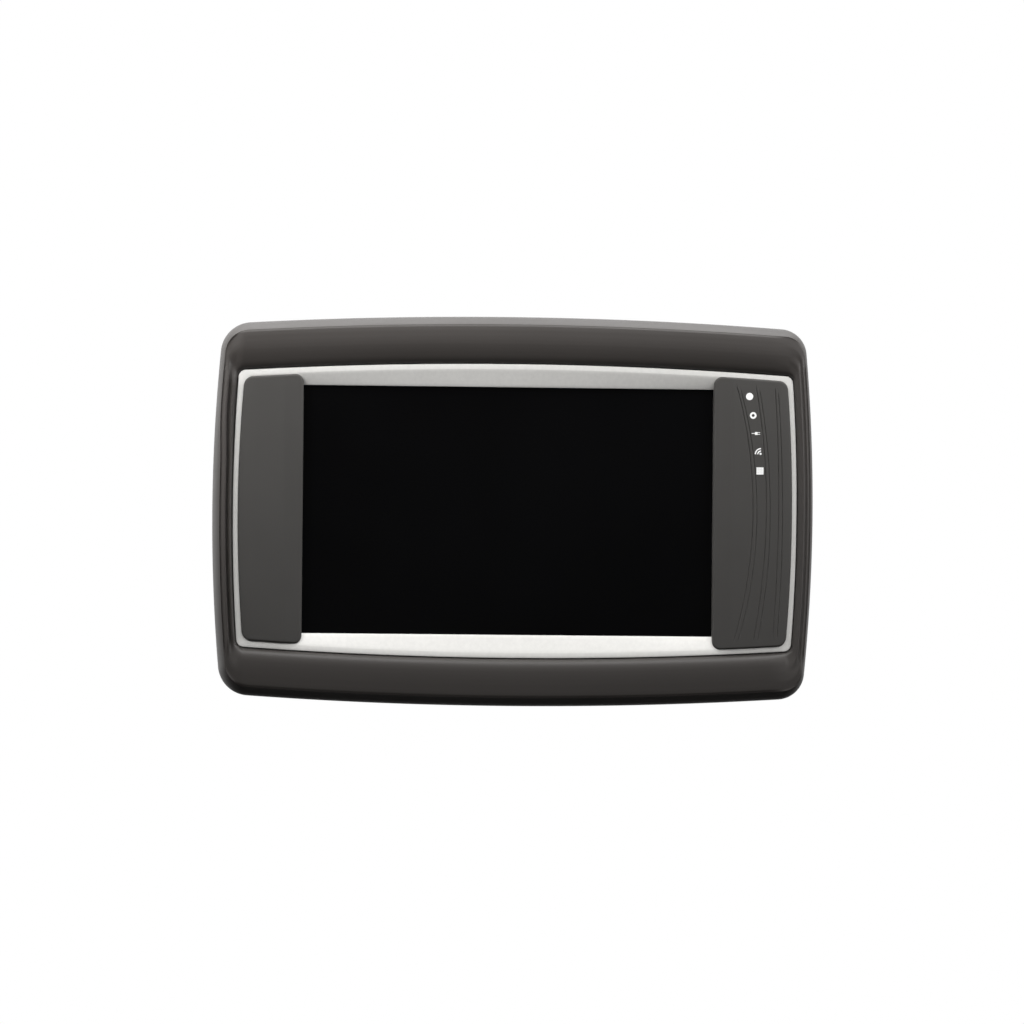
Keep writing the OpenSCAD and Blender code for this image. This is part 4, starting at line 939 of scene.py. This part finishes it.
def cells_under(material, scale, height, **kind):
    """Puts a net of cells, with a height in mm, under a finish's fine grain."""
    tree = material.node_tree
    fine = next(n for n in tree.nodes if n.type == "BUMP")
    places = node(tree, "ShaderNodeTexCoord")
    cells = node(
        tree,
        "ShaderNodeTexVoronoi",
        {"Vector": places.outputs["Object"], "Scale": scale},
        **kind,
    )
    coarse = node(
        tree,
        "ShaderNodeBump",
        {"Height": cells.outputs["Distance"], "Strength": 1.0, "Distance": height * MM},
    )
    tree.links.new(coarse.outputs["Normal"], fine.inputs["Normal"])
    return material


def pitted_finish(name, colour, roughness, pits, **more):
    return cells_under(finish(name, colour, roughness, **more), *pits, feature="SMOOTH_F1")


def brushed(name, colour, roughness, stretch, **more):
    """Rolled or brushed metal: every noise is drawn out along one way."""
    return finish(
        name, colour, roughness, 1.0, mottle=(160, 0.05), rough=(220, 0.07),
        grain=(1500, 0.004), stretch=stretch, **more,
    )


def screen_glass():
    """Coated black glass with faint wipe marks in its gloss."""
    return finish(
        "black_glass", (0.0014, 0.0014, 0.0016), 0.09, 0.0, 0.025,
        mottle=(14, 0.25), rough=(28, 0.05), grain=(900, 0.0004),
    )


def board_green():
    """Solder mask with a faint net of tracks under it."""
    mask = finish("board_green", (0.03, 0.19, 0.09), 0.42, grain=(1200, 0.02))
    return cells_under(mask, 320, 0.05, feature="F1", distance="MANHATTAN")


MATERIALS = {
    "bumper": finish(
        "soft_rubber", (0.0355, 0.0316, 0.0291), 0.42, 0.0, 0.32,
        mottle=(26, 0.06), rough=(60, 0.05), grain=(5200, 0.004), stretch=(0.35, 1, 1),
        Sheen_Weight=0.06, Sheen_Roughness=0.35,
    ),
    "silver": finish(
        "satin_silver", (0.775, 0.765, 0.738), 0.34, 0.35, 0.5,
        mottle=(700, 0.03), rough=(160, 0.04), grain=(9000, 0.0015),
    ),
    "grip": finish(
        "grip_plastic", (0.0545, 0.0525, 0.050), 0.5, 0.0, 0.16,
        mottle=(40, 0.04), rough=(80, 0.04), grain=(6000, 0.004),
    ),
    "white": finish(
        "icon_white", (0.88, 0.88, 0.87), 0.35, mottle=(600, 0.03), grain=(6000, 0.001)
    ),
    "clear": finish(
        "frosted_clear", (0.86, 0.88, 0.9), 0.45, Transmission_Weight=0.7, grain=(4000, 0.003)
    ),
    "black_glass": screen_glass(),
    "glass_clear": finish(
        "clear_bond", (0.85, 0.88, 0.9), 0.12, Transmission_Weight=0.8, grain=(900, 0.001)
    ),
    "lcd": finish("panel_glass", (0.004, 0.0045, 0.006), 0.14, grain=(1500, 0.001)),
    "white_film": finish("white_film", (0.84, 0.84, 0.83), 0.5, grain=(2500, 0.003)),
    "sheet_metal": brushed("sheet_metal", (0.55, 0.56, 0.57), 0.38, (0.05, 1, 1)),
    "steel": finish(
        "zinc_plate", (0.52, 0.53, 0.55), 0.30, 1.0, mottle=(900, 0.08), rough=(700, 0.09),
        grain=(3500, 0.003),
    ),
    "black_plastic": pitted_finish(
        "moulded_black", (0.020, 0.020, 0.021), 0.5, (2600, 0.035), specular=0.45,
        mottle=(35, 0.10), grain=(7000, 0.008),
    ),
    "gasket": finish("gasket_rubber", (0.012, 0.012, 0.012), 0.7, grain=(2500, 0.01)),
    "foam": finish("soft_foam", (0.018, 0.018, 0.019), 0.9, grain=(2200, 0.09)),
    "seal_red": finish(
        "silicone_red", (0.32, 0.055, 0.028), 0.42, Subsurface_Weight=0.1,
        Subsurface_Scale=0.001, grain=(2500, 0.006),
    ),
    "pcb": board_green(),
    "chip": finish("chip_black", (0.022, 0.022, 0.024), 0.6, grain=(8000, 0.01)),
    "can": brushed("can_metal", (0.6, 0.61, 0.63), 0.3, (1, 1, 1)),
    "shield": brushed("tinned_shield", (0.58, 0.59, 0.61), 0.33, (1, 1, 0.1)),
    "ivory": finish("ivory_nylon", (0.72, 0.68, 0.57), 0.45, grain=(2600, 0.006)),
    "film_amber": finish("amber_film", (0.42, 0.2, 0.05), 0.28, grain=(900, 0.003)),
    "brass": finish(
        "turned_brass", (0.62, 0.42, 0.16), 0.28, 1.0, mottle=(500, 0.08),
        rough=(900, 0.08), grain=(3000, 0.004), stretch=(1, 1, 1),
    ),
    "gold": finish("gold_plate", (0.75, 0.51, 0.18), 0.2, 1.0, mottle=(900, 0.05)),
    "ptfe": finish("insulator_white", (0.85, 0.85, 0.82), 0.4, grain=(2500, 0.004)),
    "magnet": finish("speaker_black", (0.025, 0.025, 0.027), 0.5, 0.2, grain=(3000, 0.01)),
    "pad_blue": finish("thermal_blue", (0.17, 0.28, 0.38), 0.75, grain=(1800, 0.03)),
    "plate": brushed("satin_plate", (0.42, 0.43, 0.44), 0.36, (0.04, 1, 1)),
    "key": finish(
        "key_plastic", (0.026, 0.026, 0.028), 0.4, specular=0.45, mottle=(200, 0.08),
        grain=(5000, 0.008),
    ),
    "cable": finish("cable_sheath", (0.016, 0.016, 0.016), 0.55, grain=(3500, 0.01)),
}


EDGE_ROUND = 0.25 * MM         # the round that a CAD edge gets
EDGE_SHARE = 0.12              # or, where it is less, this share of the node's thinnest side
WELD = 0.002 * MM


def dress(piece, slot):
    """Gives a piece the finish of a slot."""
    piece.data.materials.clear()
    piece.data.materials.append(MATERIALS[slot])


def dress_cad():
    """Gives every CAD node the finish of its own slot, and rounds its edges."""
    slots = {part["node"]: part["material_slot"] for part in frame["record"]["subparts"]}
    for name, piece in frame["nodes"].items():
        slot = slots[name]
        for material_slot in piece.material_slots:
            material_slot.material = MATERIALS[slot]
        if not piece.material_slots:
            piece.data.materials.append(MATERIALS[slot])
        low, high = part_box(name)
        thin = min(high[i] - low[i] for i in range(3))
        weld = piece.modifiers.new("joined_corners", "WELD")
        weld.merge_threshold = WELD
        soften(piece, min(EDGE_ROUND, thin * EDGE_SHARE), 2, 40)


# ---------------------------------------------------------------- light and stage

FLOOR_Z = -1.2
FLOOR_R = 0.4
# The dome's grey at shares of the way from straight down to straight up
DOME = [(0.0, 0.01), (0.3, 0.02), (0.5, 0.12), (0.68, 0.3), (1.0, 0.4)]
MIRRORED_WHITE = (-0.45, 0.2)         # heights between which a mirror's view turns white
# Lamps: name, place, aim, (width, height), watts, spread in degrees, whether gloss shows it.
# The last matters where a lamp would glare or clip in the views from behind.
LAMPS = [
    ("strip_above", (0.07, -0.12, 0.205), (0.07, -0.025, 0), (0.54, 0.12), 1.05, 180, True),
    ("overhead", (-0.02, 0.14, 0.36), (-0.02, 0, 0), (0.6, 0.25), 1.0, 180, True),
    ("panel_left", (-0.3, -0.04, 0.12), (-0.11, -0.02, 0.05), (0.16, 0.1), 0.105, 62, False),
    ("left_front", (-0.38, -0.28, 0.2), (-0.11, -0.02, 0.07), (0.22, 0.22), 0.15, 42, False),
    ("panel_right", (0.4, -0.18, 0.12), (0.08, -0.02, 0.02), (0.4, 0.3), 0.96, 180, True),
    ("back", (0.1, 1.1, -0.05), (0, 0, 0), (0.9, 0.9), 11.0, 180, False),
]


def studio_world():
    """A grey dome over a dark ground; mirrors see more white and the camera plain white."""
    world = bpy.data.worlds.new("studio")
    bpy.context.scene.world = world
    world.use_nodes = True
    tree = world.node_tree
    tree.nodes.clear()
    places = node(tree, "ShaderNodeTexCoord")
    split = node(tree, "ShaderNodeSeparateXYZ", {"Vector": places.outputs["Generated"]})
    height = node(
        tree,
        "ShaderNodeMapRange",
        {"Value": split.outputs["Z"], "From Min": -1.0, "From Max": 1.0},
    )
    sky = ramp(tree, height.outputs["Result"], [(at, (v, v, v)) for at, v in DOME])
    rays = node(tree, "ShaderNodeLightPath")
    upper = node(
        tree,
        "ShaderNodeMapRange",
        {
            "Value": split.outputs["Z"],
            "From Min": MIRRORED_WHITE[0],
            "From Max": MIRRORED_WHITE[1],
        },
    )
    mirrored = node(
        tree,
        "ShaderNodeMath",
        {0: rays.outputs["Is Glossy Ray"], 1: upper.outputs["Result"]},
        operation="MULTIPLY",
    )
    direct = node(
        tree,
        "ShaderNodeMath",
        {0: rays.outputs["Is Camera Ray"], 1: rays.outputs["Is Transmission Ray"]},
        operation="MAXIMUM",
    )
    seen = node(
        tree,
        "ShaderNodeMath",
        {0: direct.outputs[0], 1: mirrored.outputs[0]},
        operation="MAXIMUM",
    )
    light = node(tree, "ShaderNodeBackground", {"Color": sky, "Strength": 1.0})
    white = node(tree, "ShaderNodeBackground", {"Color": (1, 1, 1, 1), "Strength": 1.0})
    both = node(
        tree,
        "ShaderNodeMixShader",
        {0: seen.outputs[0], 1: light.outputs[0], 2: white.outputs[0]},
    )
    node(tree, "ShaderNodeOutputWorld", {"Surface": both.outputs[0]})


def softbox(name, place, aim, size, power, spread, glossy):
    """One flat lamp that the camera doesn't see."""
    data = bpy.data.lights.new(name, "AREA")
    data.shape = "RECTANGLE"
    data.size, data.size_y = size
    data.energy = power
    data.spread = radians(spread)
    lamp = bpy.data.objects.new(name, data)
    lamp.location = place
    lamp.rotation_euler = (Vector(aim) - Vector(place)).to_track_quat("-Z", "Y").to_euler()
    lamp.visible_camera = False
    lamp.visible_glossy = glossy
    bpy.context.scene.collection.objects.link(lamp)


def studio():
    """The dome, the lamps and a pale floor far below."""
    studio_world()
    for lamp in LAMPS:
        softbox(*lamp)
    shape = bmesh.new()
    bmesh.ops.create_circle(shape, cap_ends=True, radius=FLOOR_R, segments=96)
    mesh = bpy.data.meshes.new("floor")
    shape.to_mesh(mesh)
    shape.free()
    floor = bpy.data.objects.new("floor", mesh)
    floor.location = (0, 0, FLOOR_Z)
    bpy.context.scene.collection.objects.link(floor)
    floor.data.materials.append(
        finish("pale_floor", (0.82, 0.82, 0.81), 0.8, mottle=(6, 0.02), grain=(400, 0.01))
    )


# ---------------------------------------------------------------- making

bumper_piece = bumper()
trim_piece = trim()
left_grip_piece = grip(-1)
right_grip_piece = grip(1)
bpy.context.view_layer.update()
icon_pieces = icons(right_grip_piece)
dress(bumper_piece, "bumper")
dress(trim_piece, "silver")
for piece in (left_grip_piece, right_grip_piece):
    dress(piece, "grip")
for piece in icon_pieces:
    dress(piece, "white")
dress_cad()
studio()

bpy.context.scene.view_settings.view_transform = "Standard"
bpy.context.view_layer.update()

# ---------------------------------------------------------------- image points of the finished pieces, worked out but not written


def shown_points():
    """Image points of what the finished pieces show, by the names in POINTS."""
    _, body = surface_of([bumper_piece])
    seen = [on_image(v) for v in body]
    found = {
        "object_left": (min(p[0] for p in seen), None),
        "object_right": (max(p[0] for p in seen), None),
        "object_top": (None, min(p[1] for p in seen)),
        "object_bottom": (None, max(p[1] for p in seen)),
    }
    rim_y = front_y + RIM_DEPTH
    sill_y = front_y + SEAT_DEPTH
    fronts = {
        "trim_top": (0, rim_y, trim_h / 2),
        "trim_bottom": (0, rim_y, -trim_h / 2),
        "window_top": (0, sill_y, WINDOW_H / 2),
        "window_bottom": (0, sill_y, -WINDOW_H / 2),
        "window_left": (left_edge, front_y + GRIP_CROWN + GRIP_ROLL[1], 0),
        "window_right": (right_edge, front_y + GRIP_CROWN + GRIP_ROLL[1], 0),
    }
    found.update({name: on_image(place) for name, place in fronts.items()})
    for piece in icon_pieces:
        _, places = surface_of([piece])
        dots = [on_image(v) for v in places]
        middle = [(min(d[k] for d in dots) + max(d[k] for d in dots)) / 2 for k in (0, 1)]
        found[piece.name.replace("_inlay", "")] = tuple(middle)
    return found


def write_points():
    found = shown_points()


write_points()
